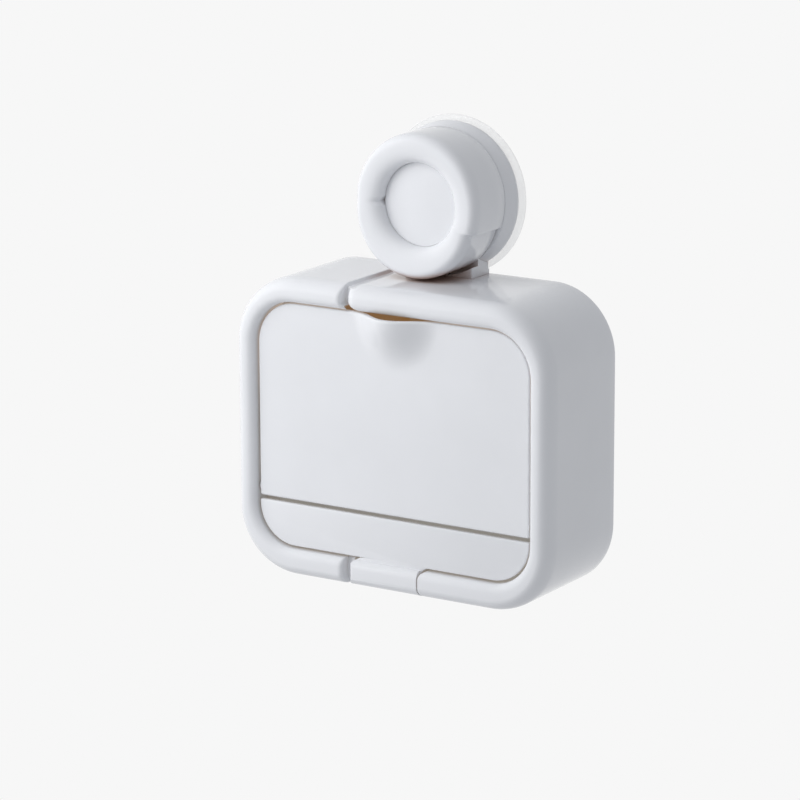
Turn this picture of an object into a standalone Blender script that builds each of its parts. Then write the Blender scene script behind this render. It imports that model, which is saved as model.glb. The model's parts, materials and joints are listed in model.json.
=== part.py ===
"""Wall-mounted soap box that hangs from a twist-lock suction cup.

Lengths are in metres. The origin is the middle of the suction pad on the wall. +X is to the
right of someone facing the wall, +Y goes into the wall and +Z is up. The box hangs below the
cup on a neck. Its flap swings down on two pins, a rack with drain slots carries the soap, and
a drip drawer with a grip tab slides out under the rack. Turning the knob moves the stud, which
draws the middle of the pad away from the wall or lets it go.
"""
import math
from collections import namedtuple

import bmesh
import bpy
from mathutils import Matrix, Vector

# Fits that many pieces share
GAP = 0.0003
OVERRUN = 0.001
ROOT = 0.0006
SEAM = 0.0011
SMALLEST_CORNER = 0.0002
WELD = 1e-6

# Box shell, with levels measured from the middle of its height
BOX_WIDTH = 0.125
BOX_HEIGHT = 0.105
BOX_DEPTH = 0.045
BOX_CORNER = 0.0236
BOX_WALL = 0.003
BACK_EDGE_ROUND = 0.0008

# Bezel round the front opening
BEZEL_SIDE = 0.00785
BEZEL_TOP = 0.0081
BEZEL_BOTTOM = 0.01005
OPENING_CORNER = 0.0157
BEAD_WIDTH = 0.0044
BEAD_DEPTH = 0.007
BEZEL_INNER_ROUND = 0.0031
BEZEL_DEPTH = 0.0086
FACE_RECESS = 0.0028

# Decorative split of the bezel, and the groove that runs back from it
SPLIT_LEFT = 0.0188
SPLIT_RIGHT = 0.0162
SPLIT_DEPTH = 0.0045
SPLIT_LEFT_ROUND = 0.0015
SPLIT_RIGHT_ROUND = 0.0042
GROOVE_RIGHT = 0.014
GROOVE_DEPTH = 0.0012
GROOVE_END = 0.0042

# Flap, and the height of the drawer front below it
DRAWER_PANEL = 0.0157
FLAP_GAP = 0.0016
FLAP_THICKNESS = 0.0022
FLAP_EDGE_ROUND = 0.0007
FLAP_LOWER_CORNER = 0.0008
SKIRT_INSET = 0.001
SKIRT_THICKNESS = 0.0014
SKIRT_DEPTH = 0.0028

# Finger lip at the top of the flap
LIP_CENTRE = 0.0005
LIP_HALF_WIDTH = 0.016
LIP_DROP = 0.015
LIP_REACH = 0.006
LIP_WALL = 0.0018

# Flap hinge
HINGE_RISE = 0.003
HINGE_SET_BACK = 0.0025
KNUCKLE_RADIUS = 0.0024
KNUCKLE_LENGTH = 0.010
PIN_RADIUS = 0.0012
PIN_IN_FLAP = 0.008
PIN_IN_BEZEL = 0.0045

# Magnetic catch in the upper corners
CATCH_SIDE_INSET = 0.0078
CATCH_TOP_INSET = 0.0076
MAGNET_RADIUS = 0.002
MAGNET_THICKNESS = 0.0018
MAGNET_WALL = 0.0013
CATCH_DEPTH = 0.0045
CATCH_WEB = 0.004

# Drip drawer
DRAWER_FRONT_THICKNESS = 0.0022
TRAY_SIDE_CLEARANCE = 0.0018
TRAY_DROP = 0.0029
TRAY_WALL = 0.0016
TRAY_BACK = 0.007
TAB_LEFT = 0.016
TAB_END_WIDTH = 0.004
TAB_END_DROP = 0.0028
TAB_RIGHT = 0.0113
TAB_SEAM = 0.0006
TAB_DEPTH = 0.0078
TAB_FILLET = 0.0033
TAB_LEFT_ROUND = 0.0022

# Runners and ledges inside the shell
RAIL_INSET = 0.0242
RAIL_WIDTH = 0.003
RAIL_BACK = 0.004
RAIL_STOP_RISE = 0.0045
LEDGE_REACH = 0.0095
LEDGE_THICKNESS = 0.0022
LEDGE_BACK = 0.005
LEDGE_FRONT_SPACE = 0.001

# Soap rack
RACK_SIDE_SPACE = 0.0008
RACK_SIDE_MARGIN = 0.0094
RACK_THICKNESS = 0.0024
RACK_FRONT_SPACE = 0.0012
RACK_BACK = 0.0042
RACK_CORNER = 0.003
RACK_SLOTS = 11
RACK_SLOT_WIDTH = 0.0042
RACK_SLOT_MARGIN = 0.0034
RACK_RIB_WIDTH = 0.0018
RACK_RIB_HEIGHT = 0.0014
RACK_LIP_THICKNESS = 0.0016
RACK_LIP_HEIGHT = 0.0034

# Back cover and its four screws
REBATE_WIDTH = 0.0012
REBATE_DEPTH = 0.0028
COVER_THICKNESS = 0.0022
COVER_PAD_RADIUS = 0.0044
COVER_PAD_DEPTH = 0.0016
SCREW_BOSS_RADIUS = 0.0034
SCREW_BOSS_REACH = 0.0176
SCREW_BOSS_ANGLE = 50.0
SCREW_HEAD_RADIUS = 0.0027
SCREW_HEAD_HEIGHT = 0.0013
SCREW_RADIUS = 0.0013
SCREW_LENGTH = 0.010
SCREW_TIP = 0.0015

# Mount bracket: pressure cup, neck and tongue
CUP_RADIUS = 0.0256
CUP_TOP_RADIUS = 0.0240
CUP_BACK = 0.0016
CUP_BAND = 0.0014
CUP_HEIGHT = 0.008
CUP_TOP_ROUND = 0.0006
CUP_RIM_WIDTH = 0.0018
CUP_ROOF = 0.0026
CUP_ROOF_RADIUS = 0.0195
TOWER_RADIUS = 0.012
TOWER_HEIGHT = 0.014
TOWER_WALL = 0.0026
NECK_HALF_WIDTH = 0.0134
NECK_DEPTH = 0.012
TONGUE_LENGTH = 0.0325
TONGUE_BACK = 0.0005
TONGUE_THICKNESS = 0.0032
POCKET_WALL = 0.0018
BRACKET_SCREW_FIRST = 0.0085
BRACKET_SCREW_PITCH = 0.015
BRACKET_SCREW_LENGTH = 0.006
BRACKET_BOSS_WALL = 0.0022
BRACKET_BOSS_FLOOR = 0.0009

# Suction pad and pull stud
PAD_RADIUS = 0.0275
PAD_EDGE = 0.0012
PAD_SEAT_RADIUS = 0.0212
PAD_DOME = 0.003
PAD_MEMBRANE = 0.0014
PAD_BOSS_RADIUS = 0.0080
PAD_BOSS_TOP = 0.0084
STUD_HEAD_RADIUS = 0.0058
STUD_HEAD_HEIGHT = 0.0017
STUD_HEAD_BASE = 0.0046
STUD_RADIUS = 0.0031
STUD_LENGTH = 0.0156

# Turn knob, its nut, washer and cap
KNOB_SEAM = 0.0004
KNOB_FRONT = 0.028
KNOB_RADIUS = 0.0241
KNOB_UPPER_RISE = 0.0004
KNOB_LOWER_RADIUS = 0.02285
KNOB_LOWER_LEFT = 0.0012
KNOB_LOWER_DROP = 0.0026
KNOB_CLEARANCE = 0.0003
KNOB_WALL = 0.0025
KNOB_BEAD_DEPTH = 0.006
KNOB_BEAD_WIDTH = 0.0057
KNOB_DISC_RADIUS = 0.0143
KNOB_DISC_LEVEL = 0.023
KNOB_INNER_BEAD_DEPTH = 0.0044
KNOB_WEB = 0.0021
KNOB_HUB_RADIUS = 0.0080
KNOB_NOTCH_DEPTH = 0.0011
KNOB_NOTCH_ANGLE = 6.0
KNOB_SPLIT_START = 180.0
KNOB_SPLIT_END = 339.0
CAP_THICKNESS = 0.002
WASHER_RADIUS = 0.009
WASHER_THICKNESS = 0.0008
NUT_ACROSS_FLATS = 0.010
NUT_HEIGHT = 0.0036

# How finely round shapes are divided
CORNER_STEPS = 8
BEAD_STEPS = 5
EDGE_STEPS = 3
LIP_STEPS = 22
KNOB_STEPS = 44
SMALL_STEPS = 18
SMOOTH_ANGLE = math.radians(35)

QUARTER = math.pi / 2
FULL_TURN = 2 * math.pi

# Places measured from the middle of the box, and the box's own drop below the cup
OPENING_HALF_WIDTH = BOX_WIDTH / 2 - BEZEL_SIDE
OPENING_TOP = BOX_HEIGHT / 2 - BEZEL_TOP
OPENING_BOTTOM = BOX_HEIGHT / 2 - BEZEL_BOTTOM
DRAWER_TOP = OPENING_BOTTOM - DRAWER_PANEL
FLAP_BOTTOM = DRAWER_TOP - FLAP_GAP
TRAY_TOP = DRAWER_TOP + TRAY_DROP
CATCH_X = OPENING_HALF_WIDTH - CATCH_SIDE_INSET
CATCH_LEVEL = OPENING_TOP - CATCH_TOP_INSET
RAIL_X = OPENING_HALF_WIDTH - RAIL_INSET
RACK_HALF_WIDTH = OPENING_HALF_WIDTH - RACK_SIDE_SPACE
RACK_SLOT_PITCH = 2 * (RACK_HALF_WIDTH - RACK_SIDE_MARGIN) / (RACK_SLOTS - 1)
KNOB_REACH = KNOB_LOWER_RADIUS + math.hypot(KNOB_LOWER_LEFT, KNOB_LOWER_DROP)
BOX_DROP = KNOB_REACH + KNOB_CLEARANCE + BOX_HEIGHT / 2

# Planes and levels that several pieces share
FRONT = -BOX_DEPTH
FACE = FRONT + FACE_RECESS
BEZEL_BACK = FRONT + BEZEL_DEPTH
MIDDLE = -BOX_DROP
BOX_TOP = MIDDLE + BOX_HEIGHT / 2
BOX_BOTTOM = MIDDLE - BOX_HEIGHT / 2
CAVITY_TOP = BOX_TOP - BOX_WALL
CAVITY_FLOOR = BOX_BOTTOM + BOX_WALL
HINGE_Y = FACE + HINGE_SET_BACK
HINGE_Z = MIDDLE - FLAP_BOTTOM + HINGE_RISE
FLAP_BACK = FACE + FLAP_THICKNESS
SKIRT_BACK = FLAP_BACK + SKIRT_DEPTH
TRAY_TOP_Z = MIDDLE - TRAY_TOP
LEDGE_BOTTOM = TRAY_TOP_Z + GAP
LEDGE_TOP = LEDGE_BOTTOM + LEDGE_THICKNESS
RACK_BOTTOM = LEDGE_TOP + GAP
RACK_TOP = RACK_BOTTOM + RACK_THICKNESS
COVER_BACK = -GAP
COVER_FRONT = COVER_BACK - COVER_THICKNESS
COVER_PAD_FRONT = COVER_FRONT - COVER_PAD_DEPTH
POCKET_FLOOR = -TONGUE_BACK - TONGUE_THICKNESS - GAP
TONGUE_BOTTOM = CAVITY_TOP - TONGUE_LENGTH
KNOB_REAR = CUP_HEIGHT + KNOB_SEAM
TOWER_FACE = TOWER_HEIGHT
WASHER_BASE = TOWER_FACE + GAP
HUB_BASE = WASHER_BASE + WASHER_THICKNESS + GAP
CAP_BASE = KNOB_DISC_LEVEL - CAP_THICKNESS
RECESS_FLOOR = CAP_BASE - GAP
BORE_RADIUS = STUD_RADIUS + GAP
NUT_BASE = RECESS_FLOOR - NUT_HEIGHT - 2 * GAP

Outline = namedtuple("Outline", "half_width top bottom top_corner bottom_corner")

BOX = Outline(BOX_WIDTH / 2, BOX_TOP, BOX_BOTTOM, BOX_CORNER, BOX_CORNER)
OPENING = Outline(OPENING_HALF_WIDTH, MIDDLE + OPENING_TOP, MIDDLE - OPENING_BOTTOM,
                  OPENING_CORNER, OPENING_CORNER)


def inset(shape, distance):
    """The same rounded rectangle, drawn in by a distance on every side."""
    return Outline(shape.half_width - distance, shape.top - distance, shape.bottom + distance,
                   max(shape.top_corner - distance, SMALLEST_CORNER),
                   max(shape.bottom_corner - distance, SMALLEST_CORNER))


def arc(centre, radii, start, end, steps):
    """Points of an elliptical arc, angles in radians, both ends included."""
    points = []
    for step in range(steps + 1):
        angle = start + (end - start) * step / steps
        points.append((centre[0] + radii[0] * math.cos(angle), centre[1] + radii[1] * math.sin(angle)))
    return points


def outline_points(shape):
    """Counterclockwise (x, z) points of a rounded rectangle."""
    corners = ((1, shape.top, -1, shape.top_corner), (-1, shape.top, -1, shape.top_corner),
               (-1, shape.bottom, 1, shape.bottom_corner), (1, shape.bottom, 1, shape.bottom_corner))
    points = []
    for index, (side, edge, inward, radius) in enumerate(corners):
        centre = (side * (shape.half_width - radius), edge + inward * radius)
        start = index * QUARTER
        points += arc(centre, (radius, radius), start, start + QUARTER, CORNER_STEPS)
    return points


def new_object(name, mesh):
    """An object that is linked to nothing yet."""
    mesh.shade_smooth()
    mesh.set_sharp_from_angle(angle=SMOOTH_ANGLE)
    return bpy.data.objects.new(name, mesh)


def from_bmesh(name, bm):
    """Turn an edit mesh into an object."""
    mesh = bpy.data.meshes.new(name)
    bm.to_mesh(mesh)
    bm.free()
    return new_object(name, mesh)


def loft(name, loops, ring=False):
    """Skin outlines of equal point counts along Y: a solid, or a tube wall when ring is set."""
    bm = bmesh.new()
    rows = [[bm.verts.new((x, y, z)) for x, z in points] for points, y in loops]
    followers = rows[1:] + rows[:1] if ring else rows[1:]
    for row, follower in zip(rows, followers):
        for here in range(len(row)):
            there = (here + 1) % len(row)
            bm.faces.new((row[here], row[there], follower[there], follower[here]))
    if not ring:
        bm.faces.new(rows[0])
        bm.faces.new(rows[-1])
    bmesh.ops.remove_doubles(bm, verts=bm.verts, dist=WELD)
    bmesh.ops.recalc_face_normals(bm, faces=bm.faces)
    return from_bmesh(name, bm)


def prism(name, points, low, high, along="Y"):
    """Extrude a flat outline between two places on the named axis."""
    place = {"X": lambda a, b, c: (c, a, b),
             "Y": lambda a, b, c: (a, c, b),
             "Z": lambda a, b, c: (a, b, c)}[along]
    bm = bmesh.new()
    face = bm.faces.new([bm.verts.new(place(a, b, low)) for a, b in points])
    lifted = bmesh.ops.extrude_face_region(bm, geom=[face])["geom"]
    shift = Vector(place(0, 0, high)) - Vector(place(0, 0, low))
    bmesh.ops.translate(bm, vec=shift, verts=[item for item in lifted if isinstance(item, bmesh.types.BMVert)])
    bmesh.ops.recalc_face_normals(bm, faces=bm.faces)
    return from_bmesh(name, bm)


def blocks(name, corners):
    """Boxes in one mesh, each from its low and its high corner."""
    bm = bmesh.new()
    for low, high in corners:
        low, high = Vector(low), Vector(high)
        sides = Matrix.Diagonal((high - low).to_4d())
        bmesh.ops.create_cube(bm, size=1, matrix=Matrix.Translation((low + high) / 2) @ sides)
    return from_bmesh(name, bm)


def cylinders(name, radius, low, high, centres, along="Y", sides=SMALL_STEPS):
    """Parallel cylinders in one mesh, between two places on the named axis."""
    turn = {"X": Matrix.Rotation(QUARTER, 4, "Y"),
            "Y": Matrix.Rotation(-QUARTER, 4, "X"),
            "Z": Matrix.Identity(4)}[along]
    place = {"X": lambda a, b, c: (c, a, b),
             "Y": lambda a, b, c: (a, c, b),
             "Z": lambda a, b, c: (a, b, c)}[along]
    bm = bmesh.new()
    for a, b in centres:
        middle = Matrix.Translation(place(a, b, (low + high) / 2))
        bmesh.ops.create_cone(bm, cap_ends=True, segments=sides, radius1=radius, radius2=radius,
                              depth=abs(high - low), matrix=middle @ turn)
    return from_bmesh(name, bm)


def turned(name, profile, steps, centre=(0, 0), closed=False):
    """Revolve (radius, height) points about a line square to the wall, height counted outwards."""
    mesh = bpy.data.meshes.new(name)
    edges = [(index, index + 1) for index in range(len(profile) - 1)]
    if closed:
        edges.append((len(profile) - 1, 0))
    mesh.from_pydata([(radius, 0, height) for radius, height in profile], edges, [])
    turned_object = bpy.data.objects.new(name, mesh)
    turned_object.location = (centre[0], 0, centre[1])
    turned_object.rotation_euler = (QUARTER, 0, 0)
    screw = turned_object.modifiers.new("Screw", "SCREW")
    screw.angle = FULL_TURN
    screw.steps = steps
    screw.render_steps = steps
    screw.use_merge_vertices = True
    screw.merge_threshold = WELD
    screw.use_smooth_shade = True
    return turned_object


def combine(target, tool, operation):
    """Add a Boolean with its tool object kept in the cutters' collection."""
    cutters.objects.link(tool)
    tool.hide_render = True
    tool.display_type = "WIRE"
    modifier = target.modifiers.new(tool.name, "BOOLEAN")
    modifier.operation = operation
    modifier.solver = "EXACT"
    modifier.object = tool
    return target


def cut(target, tool):
    """Take the tool's volume away."""
    return combine(target, tool, "DIFFERENCE")


def join(target, tool):
    """Add the tool's volume."""
    return combine(target, tool, "UNION")


def keep(target, tool):
    """Keep only what lies inside the tool."""
    return combine(target, tool, "INTERSECT")


def material(name, colour, roughness, metallic=0.0, alpha=1.0):
    """A Principled material."""
    made = bpy.data.materials.new(name)
    made.use_nodes = True
    shader = made.node_tree.nodes["Principled BSDF"]
    shader.inputs["Base Color"].default_value = (*colour, 1.0)
    shader.inputs["Roughness"].default_value = roughness
    shader.inputs["Metallic"].default_value = metallic
    shader.inputs["Alpha"].default_value = alpha
    made.diffuse_color = (*colour, alpha)
    return made


def add_part(obj, finish, parent=None):
    """Put a finished piece in the part's collection, under its moving frame if it has one."""
    obj.data.materials.append(finish)
    parts.objects.link(obj)
    if parent is not None:
        obj.parent = parent
        obj.matrix_parent_inverse = Matrix.Translation(-parent.location)
    return obj


def frame_at(name, place):
    """An empty on a joint's axis that carries the pieces of one moving body."""
    empty = bpy.data.objects.new(name, None)
    empty.location = place
    parts.objects.link(empty)
    return empty


def mirrored(*place):
    """The same place on the right and on the left."""
    return [place, (-place[0], *place[1:])]


def screw_places():
    """Centres (x, z) of the four cover screws, set round the shell's corners."""
    angle = math.radians(SCREW_BOSS_ANGLE)
    across = BOX.half_width - BOX_CORNER + SCREW_BOSS_REACH * math.cos(angle)
    rise = BOX_HEIGHT / 2 - BOX_CORNER + SCREW_BOSS_REACH * math.sin(angle)
    return [(side * across, MIDDLE + end * rise) for side in (1, -1) for end in (1, -1)]


def bracket_screw_places():
    """Centres (x, z) of the two screws that hold the bracket's tongue."""
    first = CAVITY_TOP - BRACKET_SCREW_FIRST
    return [(0, first), (0, first - BRACKET_SCREW_PITCH)]


def housing_loops():
    """Outlines round the shell's wall: rear edge, outside, bead, opening, cavity, rebate."""
    loops = []
    for step in range(EDGE_STEPS + 1):
        angle = QUARTER * step / EDGE_STEPS
        loops.append((outline_points(inset(BOX, BACK_EDGE_ROUND * (1 - math.sin(angle)))),
                      -BACK_EDGE_ROUND * (1 - math.cos(angle))))
    for step in range(BEAD_STEPS + 1):
        angle = QUARTER * step / BEAD_STEPS
        loops.append((outline_points(inset(BOX, BEAD_WIDTH * (1 - math.cos(angle)))),
                      FRONT + BEAD_DEPTH * (1 - math.sin(angle))))
    for step in range(EDGE_STEPS + 1):
        angle = QUARTER * step / EDGE_STEPS
        loops.append((outline_points(inset(OPENING, -BEZEL_INNER_ROUND * (1 - math.sin(angle)))),
                      FRONT + FACE_RECESS * (1 - math.cos(angle))))
    cavity = outline_points(inset(BOX, BOX_WALL))
    rebate = outline_points(inset(BOX, BOX_WALL - REBATE_WIDTH))
    loops.append((outline_points(OPENING), BEZEL_BACK))
    loops += [(cavity, BEZEL_BACK), (cavity, -REBATE_DEPTH), (rebate, -REBATE_DEPTH), (rebate, 0)]
    return loops


def split_points(left, right, left_round, right_round):
    """Outline (x, y) of the bezel split, flared at the front where the two ends are rounded."""
    back = FRONT + SPLIT_DEPTH
    front = FRONT - OVERRUN
    points = [(left, back), (right, back)]
    points += arc((right + right_round, FRONT + right_round), (right_round, right_round),
                  math.pi, math.pi + QUARTER, EDGE_STEPS + 1)
    points += [(right + right_round, front), (left - left_round, front)]
    points += arc((left - left_round, FRONT + left_round), (left_round, left_round),
                  -QUARTER, 0, EDGE_STEPS + 1)
    return points


def make_housing():
    """Shell and bezel in one moulding, with bosses, ledges, runners and catch ears inside."""
    housing = loft("housing", housing_loops(), ring=True)
    inner_wall = BOX.half_width - BOX_WALL
    join(housing, cylinders("screw_bosses", SCREW_BOSS_RADIUS, BEZEL_BACK - ROOT,
                            COVER_PAD_FRONT - GAP, screw_places()))
    ledges = []
    for side in (-1, 1):
        ends = sorted((side * (inner_wall - LEDGE_REACH), side * (inner_wall + ROOT)))
        ledges.append(((ends[0], BEZEL_BACK + LEDGE_FRONT_SPACE, LEDGE_BOTTOM),
                       (ends[1], -LEDGE_BACK, LEDGE_TOP)))
    join(housing, blocks("rack_ledges", ledges))
    tray_bottom = MIDDLE - OPENING_BOTTOM + TRAY_SIDE_CLEARANCE
    for side, label in ((-1, "left"), (1, "right")):
        low = side * RAIL_X - RAIL_WIDTH / 2
        high = low + RAIL_WIDTH
        runner = [(BEZEL_BACK + LEDGE_FRONT_SPACE, CAVITY_FLOOR - ROOT),
                  (-RAIL_BACK, CAVITY_FLOOR - ROOT),
                  (-RAIL_BACK, tray_bottom + RAIL_STOP_RISE),
                  (-TRAY_BACK + GAP, tray_bottom + RAIL_STOP_RISE),
                  (-TRAY_BACK + GAP, tray_bottom - GAP),
                  (BEZEL_BACK + LEDGE_FRONT_SPACE, tray_bottom - GAP)]
        join(housing, prism("tray_runner_" + label, runner, low, high, along="X"))
    ear_front = SKIRT_BACK + GAP
    ear_radius = MAGNET_RADIUS + GAP + MAGNET_WALL
    ears = [(x, z) for x, z in mirrored(CATCH_X, MIDDLE + CATCH_LEVEL)]
    join(housing, cylinders("catch_ears", ear_radius, ear_front, ear_front + CATCH_DEPTH, ears))
    webs = []
    for x, z in ears:
        ends = sorted((x, math.copysign(inner_wall + ROOT, x)))
        webs.append(((ends[0], ear_front + GAP, z - CATCH_WEB / 2),
                     (ends[1], ear_front + CATCH_DEPTH - GAP, z + CATCH_WEB / 2)))
    join(housing, blocks("catch_webs", webs))
    cut(housing, cylinders("frame_magnet_pockets", MAGNET_RADIUS + GAP, ear_front - OVERRUN,
                           ear_front + MAGNET_THICKNESS + 2 * GAP, ears))
    cut(housing, cylinders("screw_holes", SCREW_RADIUS + GAP, -SCREW_LENGTH - REBATE_DEPTH,
                           OVERRUN, screw_places()))
    for side in (-1, 1):
        ends = sorted((side * (OPENING_HALF_WIDTH - OVERRUN),
                       side * (OPENING_HALF_WIDTH + PIN_IN_BEZEL + GAP)))
        label = "left" if side < 0 else "right"
        cut(housing, cylinders("pin_bore_" + label, PIN_RADIUS + GAP, ends[0], ends[1],
                               [(HINGE_Y, HINGE_Z)], along="X"))
    split = split_points(-SPLIT_LEFT, -SPLIT_RIGHT, SPLIT_LEFT_ROUND, SPLIT_RIGHT_ROUND)
    cut(housing, prism("upper_split", split, MIDDLE + OPENING_TOP - BEAD_WIDTH, BOX_TOP + OVERRUN,
                       along="Z"))
    lower = split_points(-SPLIT_LEFT, -TAB_LEFT, SPLIT_LEFT_ROUND, SMALLEST_CORNER)
    cut(housing, prism("lower_split", lower, BOX_BOTTOM - OVERRUN,
                       MIDDLE - OPENING_BOTTOM + BEAD_WIDTH, along="Z"))
    groove_front = FRONT + SPLIT_DEPTH - OVERRUN
    cut(housing, blocks("grooves", [
        ((-SPLIT_LEFT, groove_front, BOX_TOP - GROOVE_DEPTH),
         (-GROOVE_RIGHT, -GROOVE_END, BOX_TOP + OVERRUN)),
        ((-SPLIT_LEFT, groove_front, BOX_BOTTOM - OVERRUN),
         (-GROOVE_RIGHT, -GROOVE_END, BOX_BOTTOM + GROOVE_DEPTH))]))
    cut(housing, prism("tab_notch", tab_notch_points(), FRONT - OVERRUN,
                       FRONT + TAB_DEPTH + GAP))
    cut(housing, blocks("neck_notch", [
        ((-NECK_HALF_WIDTH - GAP, -NECK_DEPTH - GAP, CAVITY_TOP - OVERRUN),
         (NECK_HALF_WIDTH + GAP, OVERRUN, BOX_TOP + OVERRUN))]))
    return housing


def tab_notch_points():
    """Outline (x, z) of the bezel's gap for the grip tab, its right corner rounded at the top."""
    right = TAB_RIGHT + TAB_SEAM
    corner = TAB_FILLET - SEAM
    level = MIDDLE - OPENING_BOTTOM
    points = [(-TAB_LEFT - GAP, BOX_BOTTOM - OVERRUN), (right, BOX_BOTTOM - OVERRUN)]
    points += arc((right + corner, level - corner), (corner, corner), math.pi, QUARTER, EDGE_STEPS + 2)
    points += [(right + corner, level + OVERRUN), (-TAB_LEFT - GAP, level + OVERRUN)]
    return points


def make_flap(finish, frame):
    """Flap door: thin plate with a return skirt, a finger lip, knuckles and magnet cups."""
    outer = Outline(OPENING_HALF_WIDTH - SEAM, MIDDLE + OPENING_TOP - SEAM, MIDDLE - FLAP_BOTTOM,
                    OPENING_CORNER - SEAM, FLAP_LOWER_CORNER)
    loops = []
    for step in range(EDGE_STEPS + 1):
        angle = QUARTER * step / EDGE_STEPS
        loops.append((outline_points(inset(outer, FLAP_EDGE_ROUND * (1 - math.sin(angle)))),
                      FACE + FLAP_EDGE_ROUND * (1 - math.cos(angle))))
    loops.append((outline_points(outer), FLAP_BACK))
    flap = loft("flap_door", loops)
    skirt_outer = outline_points(inset(outer, SKIRT_INSET))
    skirt_inner = outline_points(inset(outer, SKIRT_INSET + SKIRT_THICKNESS))
    join(flap, loft("flap_skirt", [(skirt_outer, FLAP_BACK - ROOT), (skirt_outer, SKIRT_BACK),
                                   (skirt_inner, SKIRT_BACK), (skirt_inner, FLAP_BACK - ROOT)],
                    ring=True))
    join(flap, lip_solid("finger_lip", 0, outer.top))
    for side in (-1, 1):
        ends = sorted((side * outer.half_width, side * (outer.half_width - KNUCKLE_LENGTH)))
        label = "left" if side < 0 else "right"
        join(flap, cylinders("knuckle_" + label, KNUCKLE_RADIUS, ends[0], ends[1],
                             [(HINGE_Y, HINGE_Z)], along="X"))
    cups = mirrored(CATCH_X, MIDDLE + CATCH_LEVEL)
    cup_walls = cylinders("flap_magnet_cups", MAGNET_RADIUS + GAP + MAGNET_WALL,
                          FLAP_BACK - ROOT, SKIRT_BACK, cups)
    keep(cup_walls, prism("cup_limit", outline_points(inset(outer, SKIRT_INSET + SKIRT_THICKNESS / 2)),
                          FACE, SKIRT_BACK + OVERRUN))
    join(flap, cup_walls)
    cut(flap, lip_solid("lip_hollow", LIP_WALL, outer.top + OVERRUN))
    cut(flap, cylinders("flap_magnet_pockets", MAGNET_RADIUS + GAP, FLAP_BACK, SKIRT_BACK + OVERRUN,
                        cups))
    for side in (-1, 1):
        ends = sorted((side * (outer.half_width + OVERRUN),
                       side * (outer.half_width - KNUCKLE_LENGTH - OVERRUN)))
        label = "left" if side < 0 else "right"
        cut(flap, cylinders("knuckle_bore_" + label, PIN_RADIUS + GAP, ends[0], ends[1],
                            [(HINGE_Y, HINGE_Z)], along="X"))
    add_part(flap, finish, frame)


def lip_solid(name, wall, top):
    """Half of a flattened ball, bulging out of the flap's face and cut level at the top."""
    # A ball that meets the face in a circle of the lip's half width and stands out by its reach
    ball = (LIP_HALF_WIDTH ** 2 + LIP_REACH ** 2) / (2 * LIP_REACH)
    centre = Vector((LIP_CENTRE, FACE - LIP_REACH + ball, MIDDLE + OPENING_TOP - SEAM))
    squash = LIP_DROP / LIP_HALF_WIDTH
    bm = bmesh.new()
    size = Matrix.Diagonal((ball - wall, ball - wall, (ball - wall) * squash, 1))
    bmesh.ops.create_uvsphere(bm, u_segments=2 * LIP_STEPS, v_segments=LIP_STEPS, radius=1,
                              matrix=Matrix.Translation(centre) @ size)
    for point, normal in ((Vector((0, 0, top)), Vector((0, 0, 1))),
                          (Vector((0, SKIRT_BACK + OVERRUN if wall else FLAP_BACK, 0)), Vector((0, 1, 0)))):
        cut_line = bmesh.ops.bisect_plane(bm, geom=bm.verts[:] + bm.edges[:] + bm.faces[:],
                                          plane_co=point, plane_no=normal, clear_outer=True)
        rim = [item for item in cut_line["geom_cut"] if isinstance(item, bmesh.types.BMEdge)]
        bmesh.ops.holes_fill(bm, edges=rim)
    bmesh.ops.recalc_face_normals(bm, faces=bm.faces)
    return from_bmesh(name, bm)


def make_pins(finish, frame):
    """Steel pins that carry the flap in the bezel's side bores."""
    outer = OPENING_HALF_WIDTH + PIN_IN_BEZEL
    inner = OPENING_HALF_WIDTH - SEAM - PIN_IN_FLAP
    for side, label in ((-1, "left"), (1, "right")):
        ends = sorted((side * inner, side * outer))
        add_part(cylinders("hinge_pin_" + label, PIN_RADIUS, ends[0], ends[1],
                           [(HINGE_Y, HINGE_Z)], along="X"), finish, frame)


def make_magnets(finish, frame):
    """Closing magnets: one pair in the flap's cups, one pair in the shell's ears."""
    for x, z in mirrored(CATCH_X, MIDDLE + CATCH_LEVEL):
        label = "right" if x > 0 else "left"
        back = SKIRT_BACK - GAP
        add_part(cylinders("flap_magnet_" + label, MAGNET_RADIUS, back - MAGNET_THICKNESS, back,
                           [(x, z)]), finish, frame)
        front = SKIRT_BACK + 2 * GAP
        add_part(cylinders("frame_magnet_" + label, MAGNET_RADIUS, front, front + MAGNET_THICKNESS,
                           [(x, z)]), finish)


def tab_end(level):
    """Rounded upper left corner (x, z) of the grip tab, from a level down to its left side."""
    return arc((TAB_END_WIDTH - TAB_LEFT, level - TAB_END_DROP), (TAB_END_WIDTH, TAB_END_DROP),
               QUARTER, math.pi, CORNER_STEPS)


def drawer_front_points():
    """Outline (x, z) of the drawer front with the grip tab hanging from its lower edge."""
    half = OPENING_HALF_WIDTH - SEAM
    bottom = MIDDLE - OPENING_BOTTOM + SEAM
    top = MIDDLE - DRAWER_TOP
    radius = min(OPENING_CORNER - SEAM, top - bottom - SMALLEST_CORNER)
    points = [(half, top), (-half, top)]
    points += arc((-half + radius, bottom + radius), (radius, radius), math.pi, 1.5 * math.pi, CORNER_STEPS)
    points += tab_end(bottom)
    points += [(-TAB_LEFT, BOX_BOTTOM + BEAD_WIDTH), (TAB_RIGHT, BOX_BOTTOM + BEAD_WIDTH)]
    points += arc((TAB_RIGHT + TAB_FILLET, bottom - TAB_FILLET), (TAB_FILLET, TAB_FILLET),
                  math.pi, QUARTER, EDGE_STEPS + 2)
    points += arc((half - radius, bottom + radius), (radius, radius), -QUARTER, 0, CORNER_STEPS)
    return points


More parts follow.
